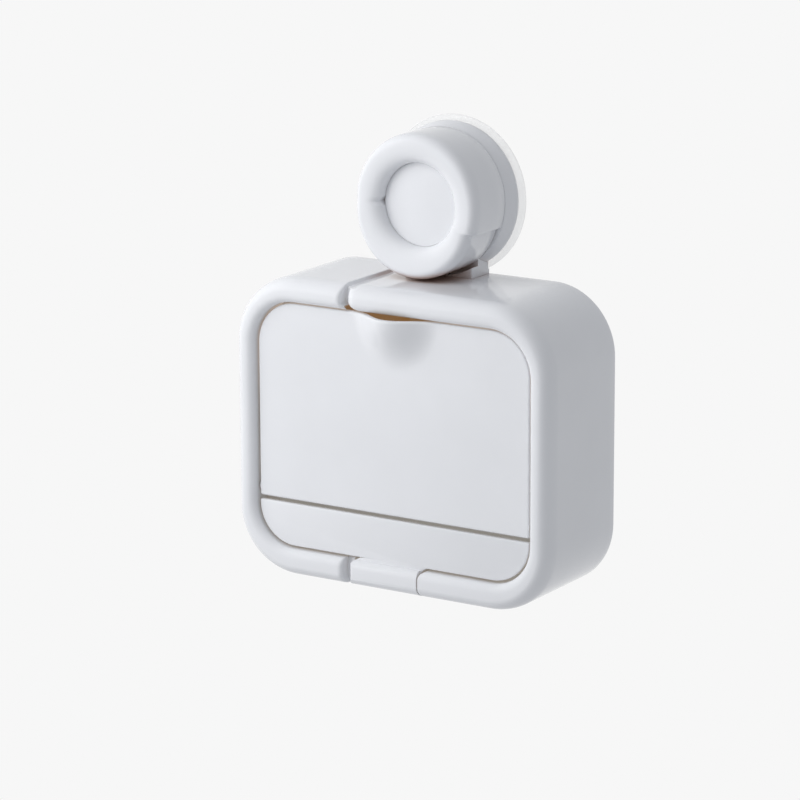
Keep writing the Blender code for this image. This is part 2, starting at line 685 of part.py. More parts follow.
def tab_profile():
    """Side view (y, z) of the grip tab: the bezel's bead, eased into the drawer front."""
    crest = MIDDLE - OPENING_BOTTOM - BEZEL_INNER_ROUND
    points = [(FRONT + TAB_DEPTH, BOX_BOTTOM), (FRONT + TAB_DEPTH, MIDDLE - OPENING_BOTTOM),
              (FACE + ROOT, MIDDLE - OPENING_BOTTOM)]
    points += arc((FRONT + FACE_RECESS, crest), (FACE_RECESS, BEZEL_INNER_ROUND),
                  QUARTER, math.pi, EDGE_STEPS)
    points += arc((FRONT + BEAD_DEPTH, BOX_BOTTOM + BEAD_WIDTH), (BEAD_DEPTH, BEAD_WIDTH),
                  math.pi, 1.5 * math.pi, BEAD_STEPS)
    return points


def make_drawer(finish, frame):
    """Drip drawer: a basin behind a lower front panel, with the grip tab under it."""
    back = FACE + DRAWER_FRONT_THICKNESS
    drawer = prism("drip_drawer", drawer_front_points(), FACE, back)
    outer = inset(OPENING, TRAY_SIDE_CLEARANCE)
    basin = Outline(outer.half_width, TRAY_TOP_Z, outer.bottom, SMALLEST_CORNER,
                    min(outer.bottom_corner, TRAY_TOP_Z - outer.bottom - SMALLEST_CORNER))
    join(drawer, prism("tray_body", outline_points(basin), back - ROOT, -TRAY_BACK))
    tab = prism("grip_tab", tab_profile(), -TAB_LEFT, TAB_RIGHT, along="X")
    level = MIDDLE - OPENING_BOTTOM
    corner = tab_end(level + SEAM - GAP)
    corner += [(-TAB_LEFT - OVERRUN, corner[-1][1]), (-TAB_LEFT - OVERRUN, level + SEAM + OVERRUN),
               (TAB_END_WIDTH - TAB_LEFT, level + SEAM + OVERRUN)]
    cut(tab, prism("tab_corner", corner, FRONT - OVERRUN, FRONT + TAB_DEPTH + OVERRUN))
    join(drawer, tab)
    hollow = inset(basin, TRAY_WALL)
    hollow = hollow._replace(top=TRAY_TOP_Z + OVERRUN)
    cut(drawer, prism("tray_hollow", outline_points(hollow), back + TRAY_WALL / 2,
                      -TRAY_BACK - TRAY_WALL))
    cut(drawer, prism("tab_left_round", tab_round_points(), BOX_BOTTOM - OVERRUN,
                      MIDDLE - OPENING_BOTTOM - ROOT, along="Z"))
    add_part(drawer, finish, frame)


def tab_round_points():
    """Cutter outline (x, y) that rounds the front corner of the tab's left end."""
    left = -TAB_LEFT
    radius = TAB_LEFT_ROUND
    points = [(left - OVERRUN, FRONT - OVERRUN), (left + radius, FRONT - OVERRUN)]
    points += arc((left + radius, FRONT + radius), (radius, radius), -QUARTER, -math.pi, EDGE_STEPS + 1)
    points.append((left - OVERRUN, FRONT + radius))
    return points


def slot_points(middle_x, width, low, high):
    """Outline (x, y) of a slot with round ends."""
    radius = width / 2
    points = arc((middle_x, high - radius), (radius, radius), 0, math.pi, 2 * EDGE_STEPS)
    return points + arc((middle_x, low + radius), (radius, radius), math.pi, FULL_TURN, 2 * EDGE_STEPS)


def make_rack(finish):
    """Soap rack: a lift-out plate with drain slots, raised ribs and a front lip."""
    front = BEZEL_BACK + RACK_FRONT_SPACE
    back = -RACK_BACK
    plate = Outline(RACK_HALF_WIDTH, back, front, RACK_CORNER, RACK_CORNER)
    rack = prism("soap_rack", outline_points(plate), RACK_BOTTOM, RACK_TOP, along="Z")
    lip_half = RACK_HALF_WIDTH - RACK_CORNER
    join(rack, blocks("rack_front_lip", [((-lip_half, front + GAP, RACK_TOP - ROOT),
                                          (lip_half, front + GAP + RACK_LIP_THICKNESS,
                                           RACK_TOP + RACK_LIP_HEIGHT))]))
    low = front + RACK_SLOT_MARGIN
    high = back - RACK_SLOT_MARGIN
    for index in range(RACK_SLOTS - 1):
        x = (index - (RACK_SLOTS - 2) / 2) * RACK_SLOT_PITCH
        rib = arc((x, RACK_TOP), (RACK_RIB_WIDTH / 2, RACK_RIB_HEIGHT), 0, math.pi, 2 * EDGE_STEPS)
        rib += [(x - RACK_RIB_WIDTH / 2, RACK_TOP - ROOT), (x + RACK_RIB_WIDTH / 2, RACK_TOP - ROOT)]
        join(rack, prism(f"rack_rib_{index + 1}", rib, low, high))
    for index in range(RACK_SLOTS):
        x = (index - (RACK_SLOTS - 1) / 2) * RACK_SLOT_PITCH
        cut(rack, prism(f"rack_slot_{index + 1}", slot_points(x, RACK_SLOT_WIDTH, low, high),
                        RACK_BOTTOM - OVERRUN, RACK_TOP + OVERRUN, along="Z"))
    add_part(rack, finish)


def screw_profile(length):
    """Screw with a low round head, as (radius, height) points with the head outermost at 0."""
    head = arc((0, -SCREW_HEAD_HEIGHT), (SCREW_HEAD_RADIUS, SCREW_HEAD_HEIGHT), QUARTER, 0, EDGE_STEPS)
    head[0] = (0, 0)
    return head + [(SCREW_RADIUS, -SCREW_HEAD_HEIGHT), (SCREW_RADIUS, SCREW_TIP - length),
                   (0, -length)]


def make_screw(name, place, head_y, length, finish):
    """A screw driven from behind, its head towards the wall."""
    screw = turned(name, screw_profile(length), SMALL_STEPS)
    screw.rotation_euler = (-QUARTER, 0, 0)
    screw.location = (place[0], head_y, place[1])
    add_part(screw, finish)


def make_cover(finish):
    """Back cover: a plate in the shell's rebate, with the pocket for the bracket's tongue."""
    plate = inset(BOX, BOX_WALL - REBATE_WIDTH + GAP)
    cover = prism("back_cover", outline_points(plate), COVER_FRONT, COVER_BACK)
    pads = cylinders("cover_pads", COVER_PAD_RADIUS, COVER_FRONT + ROOT, COVER_PAD_FRONT,
                     screw_places())
    keep(pads, prism("cover_pad_limit", outline_points(inset(BOX, BOX_WALL + GAP)),
                     COVER_PAD_FRONT - OVERRUN, COVER_BACK))
    join(cover, pads)
    inner = NECK_HALF_WIDTH + GAP
    pocket_front = POCKET_FLOOR - POCKET_WALL
    join(cover, blocks("pocket_walls", [
        ((-inner - POCKET_WALL, pocket_front, TONGUE_BOTTOM - GAP - POCKET_WALL),
         (inner + POCKET_WALL, COVER_FRONT + ROOT, CAVITY_TOP - GAP))]))
    boss_radius = SCREW_RADIUS + GAP + BRACKET_BOSS_WALL
    boss_front = bracket_screw_tip() - GAP - BRACKET_BOSS_FLOOR
    join(cover, cylinders("bracket_bosses", boss_radius, boss_front, POCKET_FLOOR - ROOT,
                          bracket_screw_places()))
    cut(cover, blocks("pocket", [((-inner, POCKET_FLOOR, TONGUE_BOTTOM - GAP),
                                  (inner, OVERRUN, BOX_TOP + OVERRUN))]))
    cut(cover, cylinders("bracket_screw_holes", SCREW_RADIUS + GAP, bracket_screw_tip() - GAP,
                         POCKET_FLOOR + OVERRUN, bracket_screw_places()))
    cut(cover, cylinders("cover_screw_holes", SCREW_RADIUS + GAP, COVER_PAD_FRONT - OVERRUN,
                         OVERRUN, screw_places()))
    cut(cover, cylinders("cover_counterbores", SCREW_HEAD_RADIUS + GAP,
                         COVER_BACK - SCREW_HEAD_HEIGHT - 2 * GAP, OVERRUN, screw_places()))
    add_part(cover, finish)


def bracket_screw_tip():
    """Place of the bracket screws' points along Y."""
    return -TONGUE_BACK - GAP - BRACKET_SCREW_LENGTH


def cup_outer_profile():
    """Outside of the pressure cup with its guide tower, as (radius, height) points."""
    side_top = CUP_HEIGHT - CUP_TOP_ROUND
    return [(0, TOWER_HEIGHT), (TOWER_RADIUS, TOWER_HEIGHT), (TOWER_RADIUS, CUP_HEIGHT),
            (CUP_TOP_RADIUS - CUP_TOP_ROUND, CUP_HEIGHT), (CUP_TOP_RADIUS, side_top),
            (CUP_RADIUS, CUP_BACK + CUP_BAND), (CUP_RADIUS, CUP_BACK), (0, CUP_BACK)]


def cup_hollow_profile():
    """Space under the pressure cup where the pad rises, as (radius, height) points."""
    roof = CUP_HEIGHT - CUP_ROOF
    tower_roof = TOWER_HEIGHT - TOWER_WALL
    tower_inside = TOWER_RADIUS - TOWER_WALL
    return [(0, tower_roof), (tower_inside, tower_roof), (tower_inside, roof),
            (CUP_ROOF_RADIUS, roof), (CUP_RADIUS - CUP_RIM_WIDTH, CUP_BACK),
            (CUP_RADIUS - CUP_RIM_WIDTH, -OVERRUN), (0, -OVERRUN)]


def make_bracket(finish):
    """Mount bracket: pressure cup, neck into the box's top, and the tongue behind the cover."""
    bracket = turned("mount_bracket", cup_outer_profile(), KNOB_STEPS)
    neck_top = -math.sqrt(CUP_TOP_RADIUS ** 2 - NECK_HALF_WIDTH ** 2) + ROOT
    tongue_front = -TONGUE_BACK - TONGUE_THICKNESS
    neck = [(-TONGUE_BACK, neck_top), (-TONGUE_BACK, TONGUE_BOTTOM), (tongue_front, TONGUE_BOTTOM),
            (tongue_front, CAVITY_TOP), (-NECK_DEPTH, CAVITY_TOP), (-NECK_DEPTH, neck_top)]
    join(bracket, prism("neck_and_tongue", neck, -NECK_HALF_WIDTH, NECK_HALF_WIDTH, along="X"))
    sweep = KNOB_REACH + GAP
    cut(bracket, turned("knob_sweep", [(TOWER_RADIUS + OVERRUN, KNOB_FRONT), (sweep, KNOB_FRONT),
                                       (sweep, CUP_HEIGHT + GAP / 2),
                                       (TOWER_RADIUS + OVERRUN, CUP_HEIGHT + GAP / 2)],
                        KNOB_STEPS, closed=True))
    rim_inside = CUP_RADIUS - CUP_RIM_WIDTH - ROOT
    cut(bracket, turned("pad_space", [(rim_inside, CUP_BACK), (PAD_RADIUS + GAP, CUP_BACK),
                                      (PAD_RADIUS + GAP, -OVERRUN), (rim_inside, -OVERRUN)],
                        KNOB_STEPS, closed=True))
    cut(bracket, turned("cup_hollow", cup_hollow_profile(), KNOB_STEPS))
    cut(bracket, cylinders("stud_guide", STUD_RADIUS + GAP, -TOWER_HEIGHT - OVERRUN, 0, [(0, 0)]))
    cut(bracket, cylinders("tongue_screw_holes", SCREW_RADIUS + GAP,
                           -TONGUE_BACK - TONGUE_THICKNESS - OVERRUN, OVERRUN,
                           bracket_screw_places()))
    cut(bracket, cylinders("tongue_counterbores", SCREW_HEAD_RADIUS + GAP,
                           -TONGUE_BACK - SCREW_HEAD_HEIGHT - 2 * GAP, OVERRUN,
                           bracket_screw_places()))
    add_part(bracket, finish)


def make_pad(finish):
    """Suction pad: clear soft disc with a flat rim, a shallow dome and a boss for the stud."""
    head_top = STUD_HEAD_BASE + STUD_HEAD_HEIGHT + GAP
    head_base = STUD_HEAD_BASE - GAP
    profile = [(STUD_RADIUS + GAP, PAD_BOSS_TOP), (PAD_BOSS_RADIUS - ROOT, PAD_BOSS_TOP),
               (PAD_BOSS_RADIUS, PAD_BOSS_TOP - ROOT)]
    rise = []
    for step in range(BEAD_STEPS + 1):
        share = step / BEAD_STEPS
        radius = PAD_BOSS_RADIUS + (PAD_SEAT_RADIUS - PAD_BOSS_RADIUS) * share
        rise.append((radius, PAD_EDGE + PAD_DOME * (1 + math.cos(math.pi * share)) / 2))
    profile += rise
    profile += [(PAD_RADIUS - ROOT, PAD_EDGE), (PAD_RADIUS, PAD_EDGE / 2), (PAD_RADIUS, 0)]
    dome = []
    for step in range(BEAD_STEPS + 1):
        share = step / BEAD_STEPS
        radius = PAD_SEAT_RADIUS * (1 - share)
        dome.append((radius, PAD_DOME * (1 - math.cos(math.pi * share)) / 2))
    profile += dome
    profile += [(0, head_base), (STUD_HEAD_RADIUS + GAP, head_base),
                (STUD_HEAD_RADIUS + GAP, head_top), (STUD_RADIUS + GAP, head_top)]
    add_part(turned("suction_pad", profile, KNOB_STEPS, closed=True), finish)


def make_stud(finish, frame):
    """Pull stud whose head sits in the pad's boss."""
    head_top = STUD_HEAD_BASE + STUD_HEAD_HEIGHT
    tip = STUD_HEAD_BASE + STUD_LENGTH
    profile = [(0, tip), (STUD_RADIUS - ROOT, tip), (STUD_RADIUS, tip - ROOT),
               (STUD_RADIUS, head_top), (STUD_HEAD_RADIUS, head_top),
               (STUD_HEAD_RADIUS, STUD_HEAD_BASE), (0, STUD_HEAD_BASE)]
    add_part(turned("pull_stud", profile, SMALL_STEPS), finish, frame)


def knob_outline(radius, follow, dent=0):
    """One ring (x, z) of the knob: two unlike arcs with a step on the right and a dent on the left.

    follow is 0 for a plain circle about the axis and 1 for the full difference of the two halves.
    """
    start, end = math.radians(KNOB_SPLIT_START), math.radians(KNOB_SPLIT_END)
    notch = math.radians(KNOB_NOTCH_ANGLE)
    lower_radius = radius - follow * (KNOB_RADIUS - KNOB_LOWER_RADIUS)
    lower_centre = (-follow * KNOB_LOWER_LEFT, -follow * KNOB_LOWER_DROP)
    upper_centre = (0, follow * KNOB_UPPER_RISE)
    steps = KNOB_STEPS // 2
    upper = [end - FULL_TURN + (start - notch - end + FULL_TURN) * step / steps for step in range(steps + 1)]
    lower = [start + notch + (end - start - notch) * step / steps for step in range(steps + 1)]
    points = [on_ray(angle, upper_centre, radius) for angle in upper]
    middle = on_ray(start, lower_centre, lower_radius)
    points.append((middle[0] * (1 - dent / radius), middle[1]))
    return points + [on_ray(angle, lower_centre, lower_radius) for angle in lower]


def on_ray(angle, centre, radius):
    """Where a ray from the knob's axis meets a circle."""
    across, rise = math.cos(angle), math.sin(angle)
    along = across * centre[0] + rise * centre[1]
    reach = along + math.sqrt(along ** 2 + radius ** 2 - centre[0] ** 2 - centre[1] ** 2)
    return (reach * across, reach * rise)


def knob_rings():
    """Rings of the hollow drum with its beaded front, as (outline, level), closed round the wall."""
    crest = KNOB_RADIUS - KNOB_BEAD_WIDTH
    bead_base = KNOB_FRONT - KNOB_BEAD_DEPTH
    inner_base = KNOB_FRONT - KNOB_INNER_BEAD_DEPTH
    wall = KNOB_RADIUS - KNOB_WALL
    roof = KNOB_FRONT - 2 * KNOB_WEB
    core_wall = KNOB_DISC_RADIUS + KNOB_WEB
    rings = [(knob_outline(BORE_RADIUS, 0), RECESS_FLOOR), (knob_outline(KNOB_DISC_RADIUS, 0), RECESS_FLOOR)]
    slope = arc((crest, inner_base), (crest - KNOB_DISC_RADIUS, KNOB_INNER_BEAD_DEPTH),
                math.pi, QUARTER, BEAD_STEPS)
    for radius, level in slope:
        follow = (radius - KNOB_DISC_RADIUS) / (crest - KNOB_DISC_RADIUS)
        rings.append((knob_outline(radius, follow, -KNOB_NOTCH_DEPTH * (1 - follow) / 2), level))
    for radius, level in arc((crest, bead_base), (KNOB_BEAD_WIDTH, KNOB_BEAD_DEPTH),
                             QUARTER, 0, BEAD_STEPS)[1:]:
        share = (radius - crest) / KNOB_BEAD_WIDTH
        rings.append((knob_outline(radius, 1, KNOB_NOTCH_DEPTH * share), level))
    rings += [(knob_outline(KNOB_RADIUS, 1, KNOB_NOTCH_DEPTH), KNOB_REAR), (knob_outline(wall, 1), KNOB_REAR),
              (knob_outline(wall, 1), bead_base), (knob_outline(crest + KNOB_WEB, 1), roof),
              (knob_outline(crest - KNOB_WEB, 1 / 2), roof), (knob_outline(core_wall, 0), RECESS_FLOOR),
              (knob_outline(core_wall, 0), RECESS_FLOOR - KNOB_WEB),
              (knob_outline(BORE_RADIUS, 0), RECESS_FLOOR - KNOB_WEB)]
    return [(points, -level) for points, level in rings]


def make_knob(finish, frame):
    """Turn knob: a hollow drum whose beaded front ring has two unequal halves round the recess."""
    knob = loft("turn_knob", knob_rings(), ring=True)
    join(knob, turned("knob_hub", [(BORE_RADIUS, RECESS_FLOOR - ROOT),
                                   (KNOB_HUB_RADIUS, RECESS_FLOOR - ROOT),
                                   (KNOB_HUB_RADIUS, HUB_BASE), (BORE_RADIUS, HUB_BASE)],
                      SMALL_STEPS, closed=True))
    nut_radius = (NUT_ACROSS_FLATS / 2 + GAP) / math.cos(math.pi / 6)
    cut(knob, cylinders("nut_pocket", nut_radius, -RECESS_FLOOR - OVERRUN, -NUT_BASE + GAP,
                        [(0, 0)], sides=6))
    cut(knob, notch_cutter())
    add_part(knob, finish, frame)


def notch_cutter():
    """Three-sided bar that notches the crest of the ring's left side."""
    half = KNOB_RADIUS * math.sin(math.radians(KNOB_NOTCH_ANGLE)) / 2
    crest = KNOB_RADIUS - KNOB_BEAD_WIDTH
    points = [(-KNOB_FRONT - OVERRUN, half), (-KNOB_FRONT - OVERRUN, -half), (-KNOB_FRONT + KNOB_NOTCH_DEPTH / 2, 0)]
    return prism("knob_notch", points, -KNOB_RADIUS, -crest + KNOB_WEB, along="X")


def make_knob_core(finishes, frame):
    """What the knob carries: the cap in its recess and the nut in its hub."""
    cap_radius = KNOB_DISC_RADIUS - GAP
    cap = [(0, KNOB_DISC_LEVEL), (cap_radius - ROOT, KNOB_DISC_LEVEL),
           (cap_radius, KNOB_DISC_LEVEL - ROOT), (cap_radius, CAP_BASE), (0, CAP_BASE)]
    add_part(turned("knob_cap", cap, KNOB_STEPS), finishes["white"], frame)
    nut_radius = NUT_ACROSS_FLATS / 2 / math.cos(math.pi / 6)
    nut = cylinders("knob_nut", nut_radius, -NUT_BASE - NUT_HEIGHT, -NUT_BASE, [(0, 0)], sides=6)
    cut(nut, cylinders("nut_bore", BORE_RADIUS, -RECESS_FLOOR, -NUT_BASE + OVERRUN, [(0, 0)]))
    add_part(nut, finishes["brass"], frame)


def make_washer(finish):
    """Thrust washer between the guide tower and the knob's hub."""
    top = WASHER_BASE + WASHER_THICKNESS
    profile = [(BORE_RADIUS, top), (WASHER_RADIUS, top), (WASHER_RADIUS, WASHER_BASE),
               (BORE_RADIUS, WASHER_BASE)]
    add_part(turned("thrust_washer", profile, SMALL_STEPS, closed=True), finish)


def make_finishes():
    """Materials by name."""
    return {"white": material("gloss_white", (0.83, 0.84, 0.86), 0.22),
            "inner_white": material("inner_white", (0.80, 0.80, 0.80), 0.45),
            "clear": material("clear_soft_plastic", (0.80, 0.85, 0.88), 0.12, alpha=0.45),
            "steel": material("zinc_steel", (0.62, 0.63, 0.65), 0.32, metallic=1.0),
            "magnet": material("nickel_magnet", (0.55, 0.55, 0.56), 0.25, metallic=1.0),
            "brass": material("brass", (0.72, 0.55, 0.27), 0.3, metallic=1.0)}


def main():
    """Build every piece."""
    finishes = make_finishes()
    flap_axis = frame_at("flap_axis", (0, HINGE_Y, HINGE_Z))
    drawer_axis = frame_at("drawer_axis", (0, FACE, MIDDLE - OPENING_BOTTOM))
    knob_axis = frame_at("knob_axis", (0, 0, 0))
    stud_axis = frame_at("stud_axis", (0, 0, 0))
    add_part(make_housing(), finishes["white"])
    make_cover(finishes["inner_white"])
    make_bracket(finishes["white"])
    make_pad(finishes["clear"])
    make_stud(finishes["steel"], stud_axis)
    make_washer(finishes["steel"])
    make_knob(finishes["white"], knob_axis)
    make_knob_core(finishes, knob_axis)
    make_flap(finishes["white"], flap_axis)
    make_pins(finishes["steel"], flap_axis)
    make_magnets(finishes["magnet"], flap_axis)
    make_rack(finishes["inner_white"])
    make_drawer(finishes["white"], drawer_axis)
    for index, place in enumerate(screw_places()):
        make_screw(f"cover_screw_{index + 1}", place, COVER_BACK - GAP, SCREW_LENGTH, finishes["steel"])
    for index, place in enumerate(bracket_screw_places()):
        make_screw(f"bracket_screw_{index + 1}", place, -TONGUE_BACK - GAP, BRACKET_SCREW_LENGTH,
                   finishes["steel"])


for leftover in list(bpy.data.objects):
    bpy.data.objects.remove(leftover)
parts = bpy.data.collections.new("soap_box")
cutters = bpy.data.collections.new("cutters")
bpy.context.scene.collection.children.link(parts)
bpy.context.scene.collection.children.link(cutters)
main()
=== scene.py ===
"""Looks of the wall-mounted soap box: fine surfaces, finishes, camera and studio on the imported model.

Lengths are in metres, in the model's own frame: X to the right, Y into the wall, Z up. The origin
is the middle of the suction pad on the wall, and the box hangs below it.
"""
from __future__ import annotations

import json
import logging
import math
from collections.abc import Sequence
from dataclasses import dataclass, field, replace
from enum import Enum

import bmesh
import bpy
import numpy as np
from mathutils import Matrix, Vector

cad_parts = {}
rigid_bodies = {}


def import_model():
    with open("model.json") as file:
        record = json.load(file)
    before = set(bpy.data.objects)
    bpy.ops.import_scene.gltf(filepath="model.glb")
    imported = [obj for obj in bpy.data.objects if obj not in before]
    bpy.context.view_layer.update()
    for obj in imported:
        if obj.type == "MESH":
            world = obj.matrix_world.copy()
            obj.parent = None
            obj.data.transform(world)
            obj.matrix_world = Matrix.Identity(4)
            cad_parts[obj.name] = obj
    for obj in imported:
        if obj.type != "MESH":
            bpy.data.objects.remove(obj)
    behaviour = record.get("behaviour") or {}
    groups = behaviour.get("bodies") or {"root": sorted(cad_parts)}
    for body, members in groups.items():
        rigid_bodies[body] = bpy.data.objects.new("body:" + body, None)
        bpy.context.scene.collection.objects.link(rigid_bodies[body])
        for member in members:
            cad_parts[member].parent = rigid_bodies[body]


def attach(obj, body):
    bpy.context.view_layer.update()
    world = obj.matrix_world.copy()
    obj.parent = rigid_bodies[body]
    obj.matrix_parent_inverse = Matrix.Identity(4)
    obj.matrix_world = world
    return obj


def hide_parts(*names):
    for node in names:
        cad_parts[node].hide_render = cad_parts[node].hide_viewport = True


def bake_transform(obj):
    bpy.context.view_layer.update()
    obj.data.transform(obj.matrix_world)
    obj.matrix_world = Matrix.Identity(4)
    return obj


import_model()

LOG = logging.getLogger("soap_box")
Array = np.ndarray
Colour = tuple[float, float, float]
Triple = tuple[float, float, float]
Place = tuple[float, float]

# Allowances that all sub-assemblies share: GAP between fitted pieces, OVERRUN of a cutter past what
# it cuts, ROOT of one joined solid in the other, and SEAM round the flap and the drawer.
GAP = 0.0003
OVERRUN = 0.001
ROOT = 0.0006
SEAM = 0.0009
WELD = 1e-6
LEAST_RADIUS = 0.0002
BEVEL_ANGLE = math.radians(50)
SHARP_ANGLE = math.radians(36)
FLATS_TO_CORNER = 1 / math.cos(math.pi / 6)
QUARTER = math.pi / 2
FULL_TURN = 2 * math.pi


class Axis(Enum):
    """Axis along which an outline is carried, as the order of its across, rise and run columns."""

    X = (2, 0, 1)
    Y = (0, 2, 1)
    Z = (0, 1, 2)


class Body(Enum):
    """Moving bodies of the model."""

    BOX = "box"
    FLAP = "flap"
    DRAWER = "drawer"
    KNOB = "knob"
    STUD = "stud"


class Slot(Enum):
    """Material slots of the record."""

    GLOSS = "gloss_white"
    INNER = "inner_white"
    CLEAR = "clear"
    STEEL = "steel"
    MAGNET = "magnet"
    BRASS = "brass"


def arc(centre: Place, radii: Place, start: float, end: float, steps: int, fullness: float = 2.0) -> Array:
    """Points of an elliptical arc: centre plus radii times cosine and sine of an even run of angles.

    A fullness above 2 squares the arc up: cosine and sine are raised to the power 2 / fullness.

    Args:
        centre: Middle of the ellipse.
        radii: Its two half axes.
        start: First angle in radians.
        end: Last angle in radians.
        steps: Number of segments.
        fullness: 2 for an ellipse, more for a squarer arc.

    Returns:
        Array of steps + 1 points, both ends included.
    """
    angles = np.linspace(start, end, steps + 1)
    wave = np.stack([np.cos(angles), np.sin(angles)], axis=1)
    return np.array(centre) + np.array(radii) * np.sign(wave) * np.abs(wave) ** (2 / fullness)


def eased(points: Sequence[Place] | Array, radius: float, steps: int = 4, closed: bool = True) -> Array:
    """Round the corners of an outline: each corner becomes a circular arc, as a conic through its tangents.

    Args:
        points: Corners in order.
        radius: Radius of the arcs, less where a side is too short for it.
        steps: Segments of each arc.
        closed: Whether the last corner runs on to the first; ends of an open outline are kept.

    Returns:
        Array of the rounded outline's points.
    """
    corner = np.asarray(points, dtype=float)
    before = np.roll(corner, 1, axis=0) - corner
    after = np.roll(corner, -1, axis=0) - corner
    length_before = np.linalg.norm(before, axis=1, keepdims=True)
    length_after = np.linalg.norm(after, axis=1, keepdims=True)
    before = before / length_before
    after = after / length_after
    cosine = np.clip((before * after).sum(axis=1, keepdims=True), -1, 1)
    half_angle = np.arccos(cosine) / 2
    least_tangent = 1e-6
    side_share = 0.45
    reach = np.minimum(radius / np.maximum(np.tan(half_angle), least_tangent),
                       side_share * np.minimum(length_before, length_after))
    weight = np.sin(half_angle)[:, None, :]
    share = np.linspace(0, 1, steps + 1)[None, :, None]
    first = (corner + before * reach)[:, None, :]
    last = (corner + after * reach)[:, None, :]
    bend = 2 * share * (1 - share) * weight
    arcs = ((1 - share) ** 2 * first + bend * corner[:, None, :] + share ** 2 * last) / (
        (1 - share) ** 2 + bend + share ** 2)
    if closed:
        return arcs.reshape(-1, 2)
    return np.concatenate([corner[:1], arcs[1:-1].reshape(-1, 2), corner[-1:]])


def smooth_step(value: Array, low: float, high: float) -> Array:
    """Ease from 0 to 1 between two values, as 3t squared less 2t cubed."""
    share = np.clip((value - low) / (high - low), 0, 1)
    return share * share * (3 - 2 * share)


@dataclass(frozen=True)
class RoundedRect:
    """Rounded rectangle in the plane of the wall, with its own radius above and below."""

    half_width: float
    top: float
    bottom: float
    top_corner: float
    bottom_corner: float

    def inset(self, distance: float) -> RoundedRect:
        """The same rectangle drawn in by a distance on every side."""
        return RoundedRect(self.half_width - distance, self.top - distance, self.bottom + distance,
                           max(self.top_corner - distance, LEAST_RADIUS),
                           max(self.bottom_corner - distance, LEAST_RADIUS))

    def loop(self, marks: Array, corner_steps: int = 20, side_steps: int = 26) -> Array:
        """Points counterclockwise from the right-hand end of the upper right corner.

        Args:
            marks: Rising X places of the points on the top and bottom sides, within the flats.
            corner_steps: Segments of each corner.
            side_steps: Segments of each upright side.

        Returns:
            Array of (x, z) points, as many for every rectangle with the same arguments.
        """
        across = self.half_width - self.top_corner
        lower_across = self.half_width - self.bottom_corner
        high = self.top - self.top_corner
        low = self.bottom + self.bottom_corner
        rise = np.linspace(0, 1, side_steps + 1)[1:-1]
        upper = (self.top_corner, self.top_corner)
        lower = (self.bottom_corner, self.bottom_corner)
        return np.concatenate([
            arc((across, high), upper, 0, QUARTER, corner_steps),
            np.stack([marks[::-1], np.full(len(marks), self.top)], axis=1),
            arc((-across, high), upper, QUARTER, 2 * QUARTER, corner_steps),
            np.stack([np.full(len(rise), -self.half_width), high + (low - high) * rise], axis=1),
            arc((-lower_across, low), lower, 2 * QUARTER, 3 * QUARTER, corner_steps),
            np.stack([marks, np.full(len(marks), self.bottom)], axis=1),
            arc((lower_across, low), lower, 3 * QUARTER, 4 * QUARTER, corner_steps),
            np.stack([np.full(len(rise), self.half_width), low + (high - low) * rise], axis=1)])


def carried_round(rows: Sequence[tuple[RoundedRect, float]], marks: Array) -> Array:
    """Skin over rounded rectangles that stand at given depths, one row of points for each.

    Args:
        rows: Rectangles, each with its Y.
        marks: X places of the points on their top and bottom sides.

    Returns:
        Array of rows by columns by 3.
    """
    loops = np.stack([shape.loop(marks) for shape, _ in rows])
    depths = np.broadcast_to(np.array([depth for _, depth in rows])[:, None], loops.shape[:2])
    return np.stack([loops[..., 0], depths, loops[..., 1]], axis=-1)


